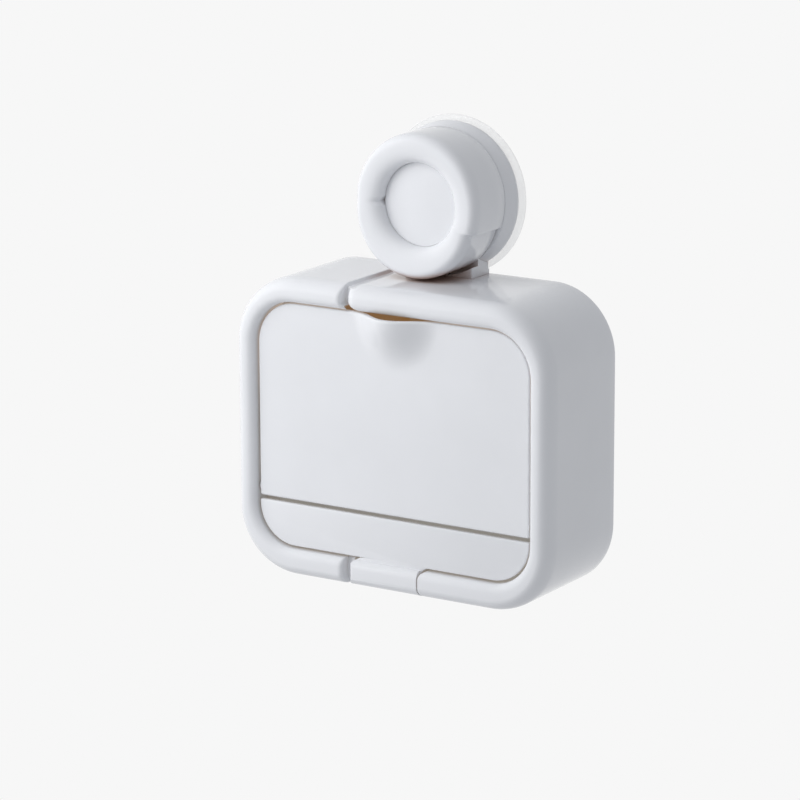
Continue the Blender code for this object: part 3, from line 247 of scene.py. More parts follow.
@dataclass(frozen=True)
class Plan:
    """Sizes of the box that its sub-assemblies share, and the levels that follow from them."""

    width: float = 0.125
    height: float = 0.105
    depth: float = 0.045
    corner: float = 0.0236
    drop: float = 0.0785136
    wall: float = 0.003
    flat: float = 0.0375
    inner_flat: float = 0.036
    bezel_side: float = 0.00785
    bezel_top: float = 0.0084
    bezel_bottom: float = 0.0097
    bezel_depth: float = 0.0086
    bezel_inner_round: float = 0.0031
    opening_corner: float = 0.0157
    opening_lower_corner: float = 0.0151
    bead_width: float = 0.0044
    bead_depth: float = 0.007
    face_recess: float = 0.0028
    face_thickness: float = 0.0022
    flap_bottom: float = 0.0255
    drawer_top: float = 0.0269
    tray_top: float = 0.02965
    tray_back: float = 0.007
    tray_clearance: float = 0.0018
    tab_left: float = 0.016
    tab_end: Place = (0.0048, 0.0036)
    tab_right: float = 0.0113
    tab_depth: float = 0.0078
    tab_fillet: float = 0.0033
    skirt_depth: float = 0.0028
    hinge_rise: float = 0.00335
    hinge_set_back: float = 0.0025
    catch_inset: Place = (0.0078, 0.0076)
    magnet_radius: float = 0.002
    magnet_thickness: float = 0.0018
    ledge_thickness: float = 0.0022
    rack_thickness: float = 0.0024
    neck_half_width: float = 0.0134
    neck_depth: float = 0.012
    tongue_length: float = 0.0325
    tongue_back: float = 0.0005
    tongue_thickness: float = 0.0032
    pin_radius: float = 0.0012
    stud_radius: float = 0.0031
    stud_head: Place = (0.0058, 0.0017)
    stud_base: float = 0.0046
    pad_radius: float = 0.0275
    knob_front: float = 0.028
    bore: float = 0.0034
    screw_radius: float = 0.0013
    screw_head: Place = (0.0027, 0.0013)
    cover_screw_angle: float = math.radians(50)
    cover_screw_reach: float = 0.0176
    bracket_screw_drop: float = 0.0085
    bracket_screw_pitch: float = 0.015

    @property
    def middle(self) -> float:
        """Level of the middle of the box."""
        return -self.drop

    @property
    def top(self) -> float:
        """Level of the box's top."""
        return self.middle + self.height / 2

    @property
    def bottom(self) -> float:
        """Level of the box's underside."""
        return self.middle - self.height / 2

    @property
    def front(self) -> float:
        """Place of the bezel's crest."""
        return -self.depth

    @property
    def face(self) -> float:
        """Place of the flap's and the drawer's front."""
        return self.front + self.face_recess

    @property
    def bezel_back(self) -> float:
        """Place of the bezel's rear side."""
        return self.front + self.bezel_depth

    @property
    def box(self) -> RoundedRect:
        """Outside of the shell."""
        return RoundedRect(self.width / 2, self.top, self.bottom, self.corner, self.corner)

    @property
    def opening(self) -> RoundedRect:
        """Front opening in the bezel."""
        return RoundedRect(self.width / 2 - self.bezel_side, self.top - self.bezel_top,
                           self.bottom + self.bezel_bottom, self.opening_corner, self.opening_lower_corner)

    @property
    def skirt_back(self) -> float:
        """Place of the rear edge of the flap's return skirt."""
        return self.face + self.face_thickness + self.skirt_depth

    @property
    def hinge(self) -> Place:
        """Y and Z of the hinge axis."""
        return (self.face + self.hinge_set_back, self.middle - self.flap_bottom + self.hinge_rise)

    @property
    def catches(self) -> list[Place]:
        """X and Z of the two magnet pairs."""
        across = self.opening.half_width - self.catch_inset[0]
        level = self.opening.top - self.catch_inset[1]
        return [(across, level), (-across, level)]

    @property
    def rack_bottom(self) -> float:
        """Level of the rack's underside, on the ledges."""
        return self.middle - self.tray_top + GAP + self.ledge_thickness + GAP

    @property
    def cover_screws(self) -> list[Place]:
        """X and Z of the four cover screws, each set out at an angle from the centre of its corner's round.

        Returns:
            Places in the order upper right, lower right, upper left, lower left.
        """
        across = self.width / 2 - self.corner + self.cover_screw_reach * math.cos(self.cover_screw_angle)
        rise = self.height / 2 - self.corner + self.cover_screw_reach * math.sin(self.cover_screw_angle)
        return [(side * across, self.middle + end * rise) for side in (1, -1) for end in (1, -1)]

    @property
    def bracket_screws(self) -> list[Place]:
        """X and Z of the two screws in the bracket's tongue."""
        first = self.top - self.wall - self.bracket_screw_drop
        return [(0, first), (0, first - self.bracket_screw_pitch)]

    def marks(self, count: int, inner: bool = False) -> Array:
        """Even X places along the flats of a loop's top and bottom sides, shorter for inner loops."""
        flat = self.inner_flat if inner else self.flat
        return np.linspace(-flat, flat, count)


PLAN = Plan()


class Wiring:
    """A node tree with short ways to add and join its nodes."""

    def __init__(self, tree: bpy.types.NodeTree) -> None:
        """Take up a node tree."""
        self.tree = tree

    def node(self, kind: str, values: dict[str, object] | None = None, **settings: object) -> bpy.types.Node:
        """Add a node.

        Args:
            kind: Node type without its ShaderNode prefix.
            values: Socket values by name.
            **settings: Properties of the node.

        Returns:
            The new node.
        """
        made = self.tree.nodes.new("ShaderNode" + kind)
        for key, value in settings.items():
            setattr(made, key, value)
        for key, value in (values or {}).items():
            made.inputs[key].default_value = value
        return made

    def link(self, source: bpy.types.NodeSocket, target: bpy.types.NodeSocket) -> None:
        """Join an output to an input."""
        self.tree.links.new(source, target)

    def math(self, operation: str, first: bpy.types.NodeSocket,
             second: bpy.types.NodeSocket) -> bpy.types.NodeSocket:
        """Work out one value from two.

        Args:
            operation: What is done with them, such as MULTIPLY.
            first: First value.
            second: Second value.

        Returns:
            Output socket.
        """
        made = self.node("Math", operation=operation)
        self.link(first, made.inputs[0])
        self.link(second, made.inputs[1])
        return made.outputs["Value"]

    def product(self, first: bpy.types.NodeSocket, *others: bpy.types.NodeSocket) -> bpy.types.NodeSocket:
        """Multiply values."""
        for other in others:
            first = self.math("MULTIPLY", first, other)
        return first

    def spread(self, source: bpy.types.NodeSocket, low: float, high: float,
               span: Place = (0.3, 0.7)) -> bpy.types.NodeSocket:
        """Run evenly from one value to another over a span of a source, and stay level outside it.

        Args:
            source: Pattern or measure.
            low: Value at the start of the span.
            high: Value at its end.
            span: Stretch of the source; as it is given, the middle of a noise pattern.

        Returns:
            Output socket.
        """
        made = self.node("MapRange", {"From Min": span[0], "From Max": span[1],
                                      "To Min": low, "To Max": high})
        self.link(source, made.inputs["Value"])
        return made.outputs["Result"]

    def background_ray(self) -> bpy.types.NodeSocket:
        """Socket that is 1 for rays that show the background: camera, mirror and glass rays.

        Returns:
            Output socket.
        """
        path = self.node("LightPath")
        total = path.outputs["Is Camera Ray"]
        for name in ("Is Glossy Ray", "Is Transmission Ray"):
            total = self.math("MAXIMUM", total, path.outputs[name])
        return total

    def blended(self, share: bpy.types.NodeSocket, first: bpy.types.NodeSocket, second: bpy.types.NodeSocket,
                target: bpy.types.NodeSocket) -> None:
        """Give a target the mix of two shaders.

        Args:
            share: Share of the second shader.
            first: First shader.
            second: Second shader.
            target: Surface input that takes the mix.
        """
        mix = self.node("MixShader")
        for source, socket in zip((share, first, second), mix.inputs):
            self.link(source, socket)
        self.link(mix.outputs[0], target)


class Graph(Wiring):
    """Node tree of one material, with its shader at hand."""

    def __init__(self, name: str, **values: float) -> None:
        """Start a material that holds a Principled shader and object coordinates.

        Args:
            name: Name of the material.
            **values: Shader values by socket name, an underscore for each space.
        """
        self.material = bpy.data.materials.new(name)
        self.material.use_nodes = True
        super().__init__(self.material.node_tree)
        self.shader = self.tree.nodes["Principled BSDF"]
        for key, value in values.items():
            self.shader.inputs[key.replace("_", " ")].default_value = value
        self.place = self.node("TexCoord").outputs["Object"]

    def dress(self, socket: str, source: bpy.types.NodeSocket) -> None:
        """Feed one socket of the shader."""
        self.link(source, self.shader.inputs[socket])

    def noise(self, scale: float, detail: float = 2.0, stretch: Triple = (1, 1, 1)) -> bpy.types.NodeSocket:
        """Cloudy pattern on the piece's own coordinates.

        Args:
            scale: Clouds for each metre.
            detail: Octaves of finer cloud.
            stretch: Factors on the three coordinates.

        Returns:
            Output socket from 0 to 1.
        """
        mapping = self.node("Mapping", {"Scale": stretch})
        self.link(self.place, mapping.inputs["Vector"])
        made = self.node("TexNoise", {"Scale": scale, "Detail": detail})
        self.link(mapping.outputs["Vector"], made.inputs["Vector"])
        return made.outputs["Fac"]

    def level(self) -> bpy.types.NodeSocket:
        """Height of each point in the model's frame."""
        made = self.node("SeparateXYZ")
        self.link(self.place, made.inputs["Vector"])
        return made.outputs["Z"]

    def openness(self, reach: float) -> bpy.types.NodeSocket:
        """Share of the directions above each point that meet nothing within a reach."""
        return self.node("AmbientOcclusion", {"Distance": reach}, samples=12).outputs["AO"]

    def mixed(self, share: bpy.types.NodeSocket | float, first: bpy.types.NodeSocket | Colour,
              second: bpy.types.NodeSocket | Colour, blend: str = "MIX") -> bpy.types.NodeSocket:
        """Go from one colour to another, or to their product with the blend MULTIPLY.

        Args:
            share: How far to go, as a socket or a number.
            first: First colour, as a socket or a colour.
            second: Second colour, as a socket or a colour.
            blend: How the second colour acts on the first.

        Returns:
            Output socket.
        """
        made = self.node("Mix", data_type="RGBA", blend_type=blend)
        for socket, value in ((0, share), (6, first), (7, second)):
            if isinstance(value, bpy.types.NodeSocket):
                self.link(value, made.inputs[socket])
            else:
                made.inputs[socket].default_value = (*value, 1) if isinstance(value, tuple) else value
        return made.outputs[2]

    def bump(self, source: bpy.types.NodeSocket, height: float,
             under: bpy.types.NodeSocket | None = None) -> bpy.types.NodeSocket:
        """Relief from a pattern.

        Args:
            source: Pattern from 0 to 1.
            height: Height of its full range in metres.
            under: Normal of a coarser relief below this one.

        Returns:
            Normal output.
        """
        made = self.node("Bump", {"Strength": 1.0, "Distance": height})
        self.link(source, made.inputs["Height"])
        if under is not None:
            self.link(under, made.inputs["Normal"])
        return made.outputs["Normal"]


@dataclass(frozen=True)
class MouldedPlastic:
    """Glossy or satin moulding: faint sink waves, uneven polish, painted shade in seams, under the knob and
    inside the box, and a painted glow inside.

    Attributes:
        name: Name of the material.
        colour: Colour of the open surface.
        seam: Factor on the colour for the painted shade at the bottom of a seam.
        painted_inside_shade: Factor on the colour, a painted warm shade deep inside the upper part of the
            box.
        glow: Painted glow inside the upper part, an emission that stands in for light coming through the
            walls.
        polish: Least and greatest roughness.
        wave: Height of the broad sink waves.
        grain: Height of the fine grain.
        painted_lower_glow: Painted glow inside the lower part, an emission that stands in for the light that
            reaches it.
        painted_knob_shadow: Factor on the colour, a painted shadow in the corner between the box's top and
            the knob.
        reach: How near the other side of a seam is.
        cavern: How near the other side of the box is.
        seam_shade_stops: Openness at a seam's bottom, at the half-way tone of its painted shade, and outside
            it.
        seam_shade_middle: Share of the open tone in the half-way tone of the painted seam shade.
        inside_span: Openness inside the box and outside it.
        upper_rise: Levels over the box's middle between which the painted lower glow turns into the painted
            upper glow.
        knob_shadow_rise: Levels over the box's top between which the painted shadow under the knob ends.
        knob_shadow_span: Openness in the painted shadow under the knob and outside it.
        cloudiness: Factor on the colour in its slightly darker clouds.
        bend: Index of refraction.
    """

    name: str
    colour: Colour
    seam: Colour
    painted_inside_shade: Colour
    glow: Colour
    polish: Place
    wave: float
    grain: float
    painted_lower_glow: Colour = (0.085, 0.079, 0.068)
    painted_knob_shadow: Colour = (0.70, 0.52, 0.45)
    reach: float = 0.012
    cavern: float = 0.07
    seam_shade_stops: Triple = (0.02, 0.14, 0.30)
    seam_shade_middle: float = 0.35
    inside_span: Place = (0.03, 0.25)
    upper_rise: Place = (0.004, 0.024)
    knob_shadow_rise: Place = (0.004, 0.010)
    knob_shadow_span: Place = (0.05, 0.45)
    cloudiness: float = 0.97
    bend: float = 1.49

    def painted_seam_shade(self, graph: Graph, openness: bpy.types.NodeSocket) -> bpy.types.NodeSocket:
        """Factor on the colour: painted shade that darkens in three stops towards the bottom of a seam.

        Args:
            graph: Graph of the material.
            openness: How open each point is.

        Returns:
            Colour output.
        """
        made = graph.node("ValToRGB")
        ramp = made.color_ramp
        deep, outside = ramp.elements
        deep.position, outside.position = self.seam_shade_stops[0], self.seam_shade_stops[2]
        deep.color = (*self.seam, 1)
        outside.color = (1, 1, 1, 1)
        middle = ramp.elements.new(self.seam_shade_stops[1])
        middle.color = (*[self.seam_shade_middle + (1 - self.seam_shade_middle) * part for part in self.seam], 1)
        graph.link(openness, made.inputs["Fac"])
        return made.outputs["Color"]

    def material(self) -> bpy.types.Material:
        """Build the material: colour times painted shade in seams, under the knob and inside the box, plus a
        painted glow inside.

        Returns:
            The material.
        """
        graph = Graph(self.name, IOR=self.bend)
        level = graph.level()
        openness = graph.openness(self.reach)
        ceiling = (PLAN.top - PLAN.wall, PLAN.top - PLAN.wall / 2)
        half_way = tuple(PLAN.middle + rise for rise in self.upper_rise)
        collar = tuple(PLAN.top + rise for rise in self.knob_shadow_rise)
        enclosed = graph.spread(graph.openness(self.cavern), 1, 0, self.inside_span)
        inside = graph.product(enclosed, graph.spread(level, 1, 0, ceiling))
        upper = graph.spread(level, 0, 1, half_way)
        # Painted glow: emission inside the box, dim in the lower part and warmer in the upper part.
        graph.dress("Emission Strength", inside)
        graph.dress("Emission Color", graph.mixed(upper, self.painted_lower_glow, self.glow))
        # Painted shadow in the corner between the box's top and the knob.
        knob_shadow_mask = graph.product(graph.spread(level, 0, 1, ceiling), graph.spread(level, 1, 0, collar),
                                graph.spread(openness, 1, 0, self.knob_shadow_span))
        cloudy = tuple(self.cloudiness * part for part in self.colour)
        colour = graph.mixed(graph.spread(graph.noise(40, 3), 0, 1), self.colour, cloudy)
        # Painted shade: the colour darkens towards the bottom of every seam and gap.
        colour = graph.mixed(1.0, colour, self.painted_seam_shade(graph, openness), "MULTIPLY")
        colour = graph.mixed(knob_shadow_mask, colour, self.painted_knob_shadow, "MULTIPLY")
        # Painted warm shade deep inside the upper part of the box.
        colour = graph.mixed(graph.product(inside, upper), colour, self.painted_inside_shade, "MULTIPLY")
        graph.dress("Base Color", colour)
        graph.dress("Roughness", graph.spread(graph.noise(700, 5), *self.polish))
        waves = graph.bump(graph.noise(55, 1), self.wave)
        graph.dress("Normal", graph.bump(graph.noise(2600, 2), self.grain, waves))
        return graph.material


@dataclass(frozen=True)
class ClearVinyl:
    """Soft clear plastic with a cool tint and faint flow marks."""

    name: str
    colour: Colour
    roughness: float
    clearness: float = 0.85
    bend: float = 1.2
    mark_height: float = 0.00004

    def material(self) -> bpy.types.Material:
        """Build the material.

        Returns:
            The material.
        """
        graph = Graph(self.name, Base_Color=(*self.colour, 1), Transmission_Weight=self.clearness,
                      IOR=self.bend)
        graph.dress("Roughness", graph.spread(graph.noise(300, 3), self.roughness, 2 * self.roughness))
        graph.dress("Normal", graph.bump(graph.noise(160, 2), self.mark_height))
        return graph.material


@dataclass(frozen=True)
class Metal:
    """Plated or turned metal: fine drawn lines, cloudy plating and uneven polish."""

    name: str
    colour: Colour
    dull: Colour
    polish: Place
    lines: Triple = (1, 40, 1)
    line_height: float = 0.000006

    def material(self) -> bpy.types.Material:
        """Build the material.

        Returns:
            The material.
        """
        graph = Graph(self.name, Metallic=1)
        cloud = graph.mixed(graph.spread(graph.noise(500, 4), 0, 1), self.colour, self.dull)
        graph.dress("Base Color", cloud)
        drawn = graph.noise(900, 2, self.lines)
        graph.dress("Roughness", graph.spread(drawn, *self.polish))
        graph.dress("Normal", graph.bump(drawn, self.line_height))
        return graph.material


class Finishes:
    """One material for each slot."""

    def __init__(self) -> None:
        """Build every finish."""
        self.by_slot = {
            # Both plastics carry painted shade in seams, under the knob and inside the box, and a painted
            # glow inside.
            Slot.GLOSS: MouldedPlastic(
                "gloss_white_abs", colour=(0.79, 0.80, 0.825), seam=(0.80, 0.74, 0.69),
                painted_inside_shade=(0.92, 0.88, 0.85), glow=(0.17, 0.147, 0.125), polish=(0.05, 0.09),
                wave=0.00004, grain=0.0000008).material(),
            Slot.INNER: MouldedPlastic(
                "satin_white_abs", colour=(0.74, 0.75, 0.76), seam=(0.42, 0.36, 0.30),
                painted_inside_shade=(0.45, 0.28, 0.12), glow=(0.14, 0.064, 0.018), polish=(0.34, 0.46),
                wave=0.00008, grain=0.000004).material(),
            Slot.CLEAR: ClearVinyl("clear_soft_vinyl", (0.95, 0.955, 0.96), 0.09).material(),
            Slot.STEEL: Metal("zinc_plated_steel", (0.66, 0.67, 0.69), (0.55, 0.56, 0.58),
                              (0.24, 0.4)).material(),
            Slot.MAGNET: Metal("nickel_plated_magnet", (0.60, 0.58, 0.55), (0.52, 0.50, 0.47),
                               (0.16, 0.28)).material(),
            Slot.BRASS: Metal("turned_brass", (0.78, 0.58, 0.28), (0.66, 0.47, 0.22),
                              (0.22, 0.36)).material()}


class Form:
    """A solid in the making. Other solids are joined to it or cut from it when it is finished."""

    def __init__(self, name: str, points: Array, ring: bool = False) -> None:
        """Skin rows of points.

        Args:
            name: Name of the piece.
            points: Array of rows by columns by 3; each row is a closed loop, and rows that shrink to
                a point close themselves.
            ring: Whether the last row runs on to the first; otherwise both ends are capped.
        """
        rows, columns = points.shape[:2]
        row = np.arange(rows if ring else rows - 1)[:, None]
        column = np.arange(columns)[None, :]
        after = (row + 1) % rows
        beside = (column + 1) % columns
        quads = np.stack([row * columns + column, row * columns + beside,
                          after * columns + beside, after * columns + column], axis=-1)
        faces = quads.reshape(-1, 4).tolist()
        if not ring:
            faces.append(np.arange(columns)[::-1].tolist())
            faces.append((np.arange(columns) + (rows - 1) * columns).tolist())
        mesh = bpy.data.meshes.new(name)
        mesh.from_pydata(points.reshape(-1, 3), [], faces)
        settle(mesh)
        self.object = bpy.data.objects.new(name, mesh)
        WORKSHOP.objects.link(self.object)

    @classmethod
    def carried(cls, name: str, outline: Array, low: float, high: float, axis: Axis = Axis.Y,
                edge: float = 0.0) -> Form:
        """Carry an outline straight along an axis.

        Args:
            name: Name of the piece.
            outline: Points (across, rise).
            low: Place of one end.
            high: Place of the other end.
            axis: Axis of the run.
            edge: Radius of a bevel on every sharp edge.

        Returns:
            The solid.
        """
        ends = np.repeat([[low], [high]], len(outline), axis=1)[..., None]
        flat = np.concatenate([np.repeat(np.asarray(outline)[None], 2, axis=0), ends], axis=-1)
        made = cls(name, flat[..., list(axis.value)])
        return made.soften(edge) if edge else made

    @classmethod
    def block(cls, name: str, low: Triple, high: Triple, edge: float = 0.0) -> Form:
        """A box between two corners, its edges bevelled by a radius."""
        outline = np.array([(low[0], low[1]), (high[0], low[1]), (high[0], high[1]), (low[0], high[1])])
        return cls.carried(name, outline, low[2], high[2], Axis.Z, edge)

    @classmethod
    def turned(cls, name: str, profile: Sequence[Place] | Array, centre: Place = (0, 0), steps: int = 96,
               closed: bool = False) -> Form:
        """Turn a profile about a line square to the wall: x and z go round by its radius.

        Args:
            name: Name of the piece.
            profile: Points (radius, height), height counted outwards from the wall.
            centre: X and Z of the line.
            steps: Segments of a full turn.
            closed: Whether the profile closes on itself, as for a tube.

        Returns:
            The solid.
        """
        profile = np.asarray(profile, dtype=float)
        angles = np.linspace(0, FULL_TURN, steps, endpoint=False)[None, :]
        radius = profile[:, :1]
        points = np.stack([centre[0] + radius * np.cos(angles), -profile[:, 1:] + 0 * angles,
                           centre[1] + radius * np.sin(angles)], axis=-1)
        return cls(name, points, closed)

    @classmethod
    def bar(cls, name: str, radius: float, low: float, high: float, centre: Place, axis: Axis = Axis.Y,
            edge: float = 0.0, steps: int = 40) -> Form:
        """A round bar along an axis, its end edges rounded.

        Args:
            name: Name of the piece.
            radius: Its radius.
            low: Place of one end.
            high: Place of the other end.
            centre: The two other coordinates of its middle line.
            axis: Axis of its length.
            edge: Radius of the end edges.
            steps: Segments round it.

        Returns:
            The solid.
        """
        low, high = min(low, high), max(low, high)
        if edge:
            start = arc((radius - edge, low + edge), (edge, edge), -QUARTER, 0, 4)
            end = arc((radius - edge, high - edge), (edge, edge), 0, QUARTER, 4)
            profile = np.concatenate([[(0, low)], start, end, [(0, high)]])
        else:
            profile = np.array([(0, low), (radius, low), (radius, high), (0, high)])
        angles = np.linspace(0, FULL_TURN, steps, endpoint=False)[None, :]
        reach = profile[:, :1]
        flat = np.stack([centre[0] + reach * np.cos(angles), centre[1] + reach * np.sin(angles),
                         profile[:, 1:] + 0 * angles], axis=-1)
        return cls(name, flat[..., list(axis.value)])

    def soften(self, radius: float, segments: int = 3) -> Form:
        """Bevel every edge that is sharp so far.

        Args:
            radius: Radius of the bevels.
            segments: Segments across each bevel.

        Returns:
            This solid.
        """
        bevel = self.object.modifiers.new("Softened edges", "BEVEL")
        bevel.width = radius
        bevel.segments = segments
        bevel.limit_method = "ANGLE"
        bevel.angle_limit = BEVEL_ANGLE
        bevel.use_clamp_overlap = False
        return self

    def combine(self, operation: str, tools: Sequence[Form]) -> Form:
        """Add one Boolean for each tool.

        Args:
            operation: UNION, DIFFERENCE or INTERSECT.
            tools: Solids that it uses up.

        Returns:
            This solid.
        """
        for tool in tools:
            boolean = self.object.modifiers.new(tool.object.name, "BOOLEAN")
            boolean.operation = operation
            boolean.solver = "EXACT"
            boolean.object = tool.object
        return self

    def join(self, *tools: Form) -> Form:
        """Add the volume of each tool."""
        return self.combine("UNION", tools)

    def cut(self, *tools: Form) -> Form:
        """Take away the volume of each tool."""
        return self.combine("DIFFERENCE", tools)

    def keep(self, *tools: Form) -> Form:
        """Keep only what lies inside each tool."""
        return self.combine("INTERSECT", tools)

    def finish(self, slot: Slot, body: Body | None, *nodes: str) -> bpy.types.Object:
        """Turn the solid into a finished piece of the object.

        Args:
            slot: Material slot that gives its finish.
            body: Body that it rides on, or None for a piece that rides on none.
            *nodes: Nodes of the model that it stands for.

        Returns:
            The piece's object.
        """
        bpy.context.view_layer.update()
        shaped = self.object.evaluated_get(bpy.context.evaluated_depsgraph_get())
        mesh = bpy.data.meshes.new_from_object(shaped)
        settle(mesh)
        name = self.object.name
        self.object.name = name + "_form"
        piece = bpy.data.objects.new(name, mesh)
        mesh.materials.clear()
        mesh.materials.append(FINISHES.by_slot[slot])
        bpy.context.scene.collection.objects.link(piece)
        if body:
            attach(piece, body.value)
        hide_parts(*(nodes or (name,)))
        LOG.info("%s: %d faces, %s", name, len(mesh.polygons), slot.value)
        for tool in list(WORKSHOP.objects):
            bpy.data.objects.remove(tool)
        return piece


def settle(mesh: bpy.types.Mesh) -> None:
    """Weld doubled points, turn every face outwards and mark the sharp edges.

    Args:
        mesh: Mesh that is changed in place.
    """
    work = bmesh.new()
    work.from_mesh(mesh)
    bmesh.ops.remove_doubles(work, verts=work.verts, dist=WELD)
    bmesh.ops.dissolve_degenerate(work, edges=work.edges, dist=WELD)
    bmesh.ops.recalc_face_normals(work, faces=work.faces)
    work.to_mesh(mesh)
    work.free()
    mesh.shade_smooth()
    mesh.set_sharp_from_angle(angle=SHARP_ANGLE)


@dataclass
class Shell:
    """Box shell with its beaded bezel, split above and below, and the fittings inside."""

    plan: Plan = PLAN
    split_left: float = 0.0188
    split_right: float = 0.0170
    split_depth: float = 0.0045
    split_left_round: float = 0.0015
    split_right_round: float = 0.0042
    split_foot: float = 0.0003
    split_spread: float = 1e-5
    lower_split_right: float = 0.004
    bulb_corner: float = 0.003
    bulb_sink: float = 0.5
    mouth: Place = (-0.0203, -0.0148)
    mouth_rise: float = 0.0013
    mouth_lean: float = 0.0004
    groove_right: float = 0.014
    groove_depth: float = 0.0012
    groove_ease: float = 0.0007
    groove_end: float = 0.0042
    groove_rise: float = 0.0005
    groove_steps: tuple[float, ...] = (-0.0001, 0.0, 0.0002, 0.0004)
    stations: tuple[float, ...] = (0.012, 0.020, 0.028, 0.034)
    cavity_station: float = 0.02
    tab_seam: float = 0.0006
    rear_round: float = 0.0008
    rebate: Place = (0.0012, 0.0028)
    boss_radius: float = 0.0034
    boss_back: float = 0.0044
    ledge_reach: float = 0.0095
    ledge_back: float = 0.005
    rail_x: float = 0.03045
    rail_width: float = 0.003
    rail_back: float = 0.004
    rail_stop: float = 0.0045
    ear_wall: float = 0.0013
    ear_depth: float = 0.0045
    web_half: float = 0.002
    runner_round: float = 0.0004
    screw_depth: float = 0.0128
    pin_depth: float = 0.0045

    def split_line(self, right: float, right_round: float) -> Array:
        """Depth of the split against X: a quarter round down each wall, then a filleted floor.

        The points are spread by a hair, so that X rises all along the upright walls too.

        Args:
            right: X of the right-hand wall.
            right_round: Radius of that wall's front edge.

        Returns:
            Array of rising (x, depth) points.
        """
        foot = self.split_foot
        floor = self.split_depth
        left_edge = arc((-self.split_left - self.split_left_round, self.split_left_round),
                        (self.split_left_round, self.split_left_round), -QUARTER, 0, 5)
        left_foot = arc((-self.split_left + foot, floor - foot), (foot, foot), math.pi, QUARTER, 3)
        right_foot = arc((right - foot, floor - foot), (foot, foot), QUARTER, 0, 3)
        right_edge = arc((right + right_round, right_round), (right_round, right_round),
                         math.pi, 3 * QUARTER, 8)
        line = np.concatenate([left_edge, left_foot, right_foot, right_edge])
        line[:, 0] += np.linspace(-1, 1, len(line)) * self.split_spread
        return line

    def profile(self) -> list[tuple[RoundedRect, float]]:
        """Section of the shell: rear edge, side, bead, bezel and inside, as rectangles with their Y.

        The rear edge is a quarter circle, and the bead and the bezel's inner round are quarter ellipses.

        Returns:
            Rows of the skin.
        """
        plan = self.plan
        rows: list[tuple[RoundedRect, float]] = []
        for angle in np.linspace(0, QUARTER, 5):
            rows.append((plan.box.inset(self.rear_round * (1 - math.sin(angle))),
                         -self.rear_round * (1 - math.cos(angle))))
        for depth in (*[self.groove_end + step for step in self.groove_steps], *self.stations):
            rows.append((plan.box, -depth))
        for angle in np.linspace(0, QUARTER, 17):
            rows.append((plan.box.inset(plan.bead_width * (1 - math.cos(angle))),
                         plan.front + plan.bead_depth * (1 - math.sin(angle))))
        for angle in np.linspace(0, QUARTER, 12):
            rows.append((plan.opening.inset(-plan.bezel_inner_round * (1 - math.sin(angle))),
                         plan.front + plan.face_recess * (1 - math.cos(angle))))
        cavity = plan.box.inset(plan.wall)
        rebate = plan.box.inset(plan.wall - self.rebate[0])
        rows += [(plan.opening, plan.front + plan.bead_depth), (plan.opening, plan.bezel_back),
                 (cavity, plan.bezel_back), (cavity, -self.cavity_station), (cavity, -self.rebate[1]),
                 (rebate, -self.rebate[1]), (rebate, 0.0)]
        return rows

    def pressed(self, points: Array, upper: Array, lower: Array) -> Array:
        """Y of the points once the split is pressed in.

        Each point of the bead sinks towards the bead's base in proportion to the depth of the split
        at its X. Just above the opening the split's right wall turns off in a quarter circle and its
        floor falls away.

        Args:
            points: Skin of the shell.
            upper: Line of the split in the upper side.
            lower: Line of the split in the lower side.

        Returns:
            Array of one Y for each point.
        """
        plan = self.plan
        x, y, z = np.moveaxis(points, -1, 0)
        base = plan.front + plan.bead_depth
        rise = np.clip((z - plan.opening.top) / self.bulb_corner, 0, 1)
        turn = np.where(y < base, self.bulb_corner * (1 - np.sqrt(rise * (2 - rise))), 0)
        fall = (1 + self.bulb_sink * (1 - rise) ** 2) * (x < -self.split_right + turn)
        above = np.interp(x - turn, upper[:, 0], upper[:, 1]) * np.maximum(fall, 1)
        below = np.interp(x, lower[:, 0], lower[:, 1])
        depth = np.where(z > plan.middle, np.minimum(above, plan.bead_depth), below)
        return np.where(y < base, base - (base - y) * (1 - depth / plan.bead_depth), y)

    def grooved(self, points: Array) -> Array:
        """Z of the points once the groove is let into the top: those above its floor drop to it.

        Args:
            points: Skin of the shell before the split is pressed in.

        Returns:
            Array of one Z for each point.
        """
        plan = self.plan
        x, y, z = np.moveaxis(points, -1, 0)
        ease = self.groove_ease
        run = smooth_step(-x, self.groove_right - ease, self.groove_right + ease) * smooth_step(
            x, -self.split_left - ease, -self.split_left + ease)
        floor = self.groove_depth * run * smooth_step(-y, self.groove_end, self.groove_end + self.groove_rise)
        return np.clip(z, plan.bottom + floor, plan.top - floor)

    def surface(self) -> Array:
        """Skin of the shell: its section carried round the box, with the split and the groove.

        Returns:
            Array of rows by columns by 3, closed both ways.
        """
        upper = self.split_line(-self.split_right, self.split_right_round)
        lower = self.split_line(-self.lower_split_right, self.split_foot)
        ease = self.groove_ease
        groove_marks = np.linspace(-self.split_left - ease, -self.groove_right + ease, 29)
        places = np.concatenate([self.plan.marks(51), upper[:, 0], lower[:, 0], groove_marks])
        points = carried_round(self.profile(), np.unique(np.round(places, 7)))
        return np.stack([points[..., 0], self.pressed(points, upper, lower), self.grooved(points)], axis=-1)

    def tab_notch(self) -> Form:
        """Gap in the lower bezel for the drawer's tab, its right corner rounded at the top.

        Returns:
            The cutter.
        """
        plan = self.plan
        right = plan.tab_right + self.tab_seam
        corner = plan.tab_fillet - SEAM
        level = plan.opening.bottom
        left = -plan.tab_left - GAP
        outline = np.concatenate([
            [(left, plan.bottom - OVERRUN), (right, plan.bottom - OVERRUN)],
            arc((right + corner, level - corner), (corner, corner), math.pi, QUARTER, 10),
            [(right + corner, level + OVERRUN), (left, level + OVERRUN)]])
        return Form.carried("tab_notch", outline, plan.front - OVERRUN, plan.front + plan.tab_depth + GAP)

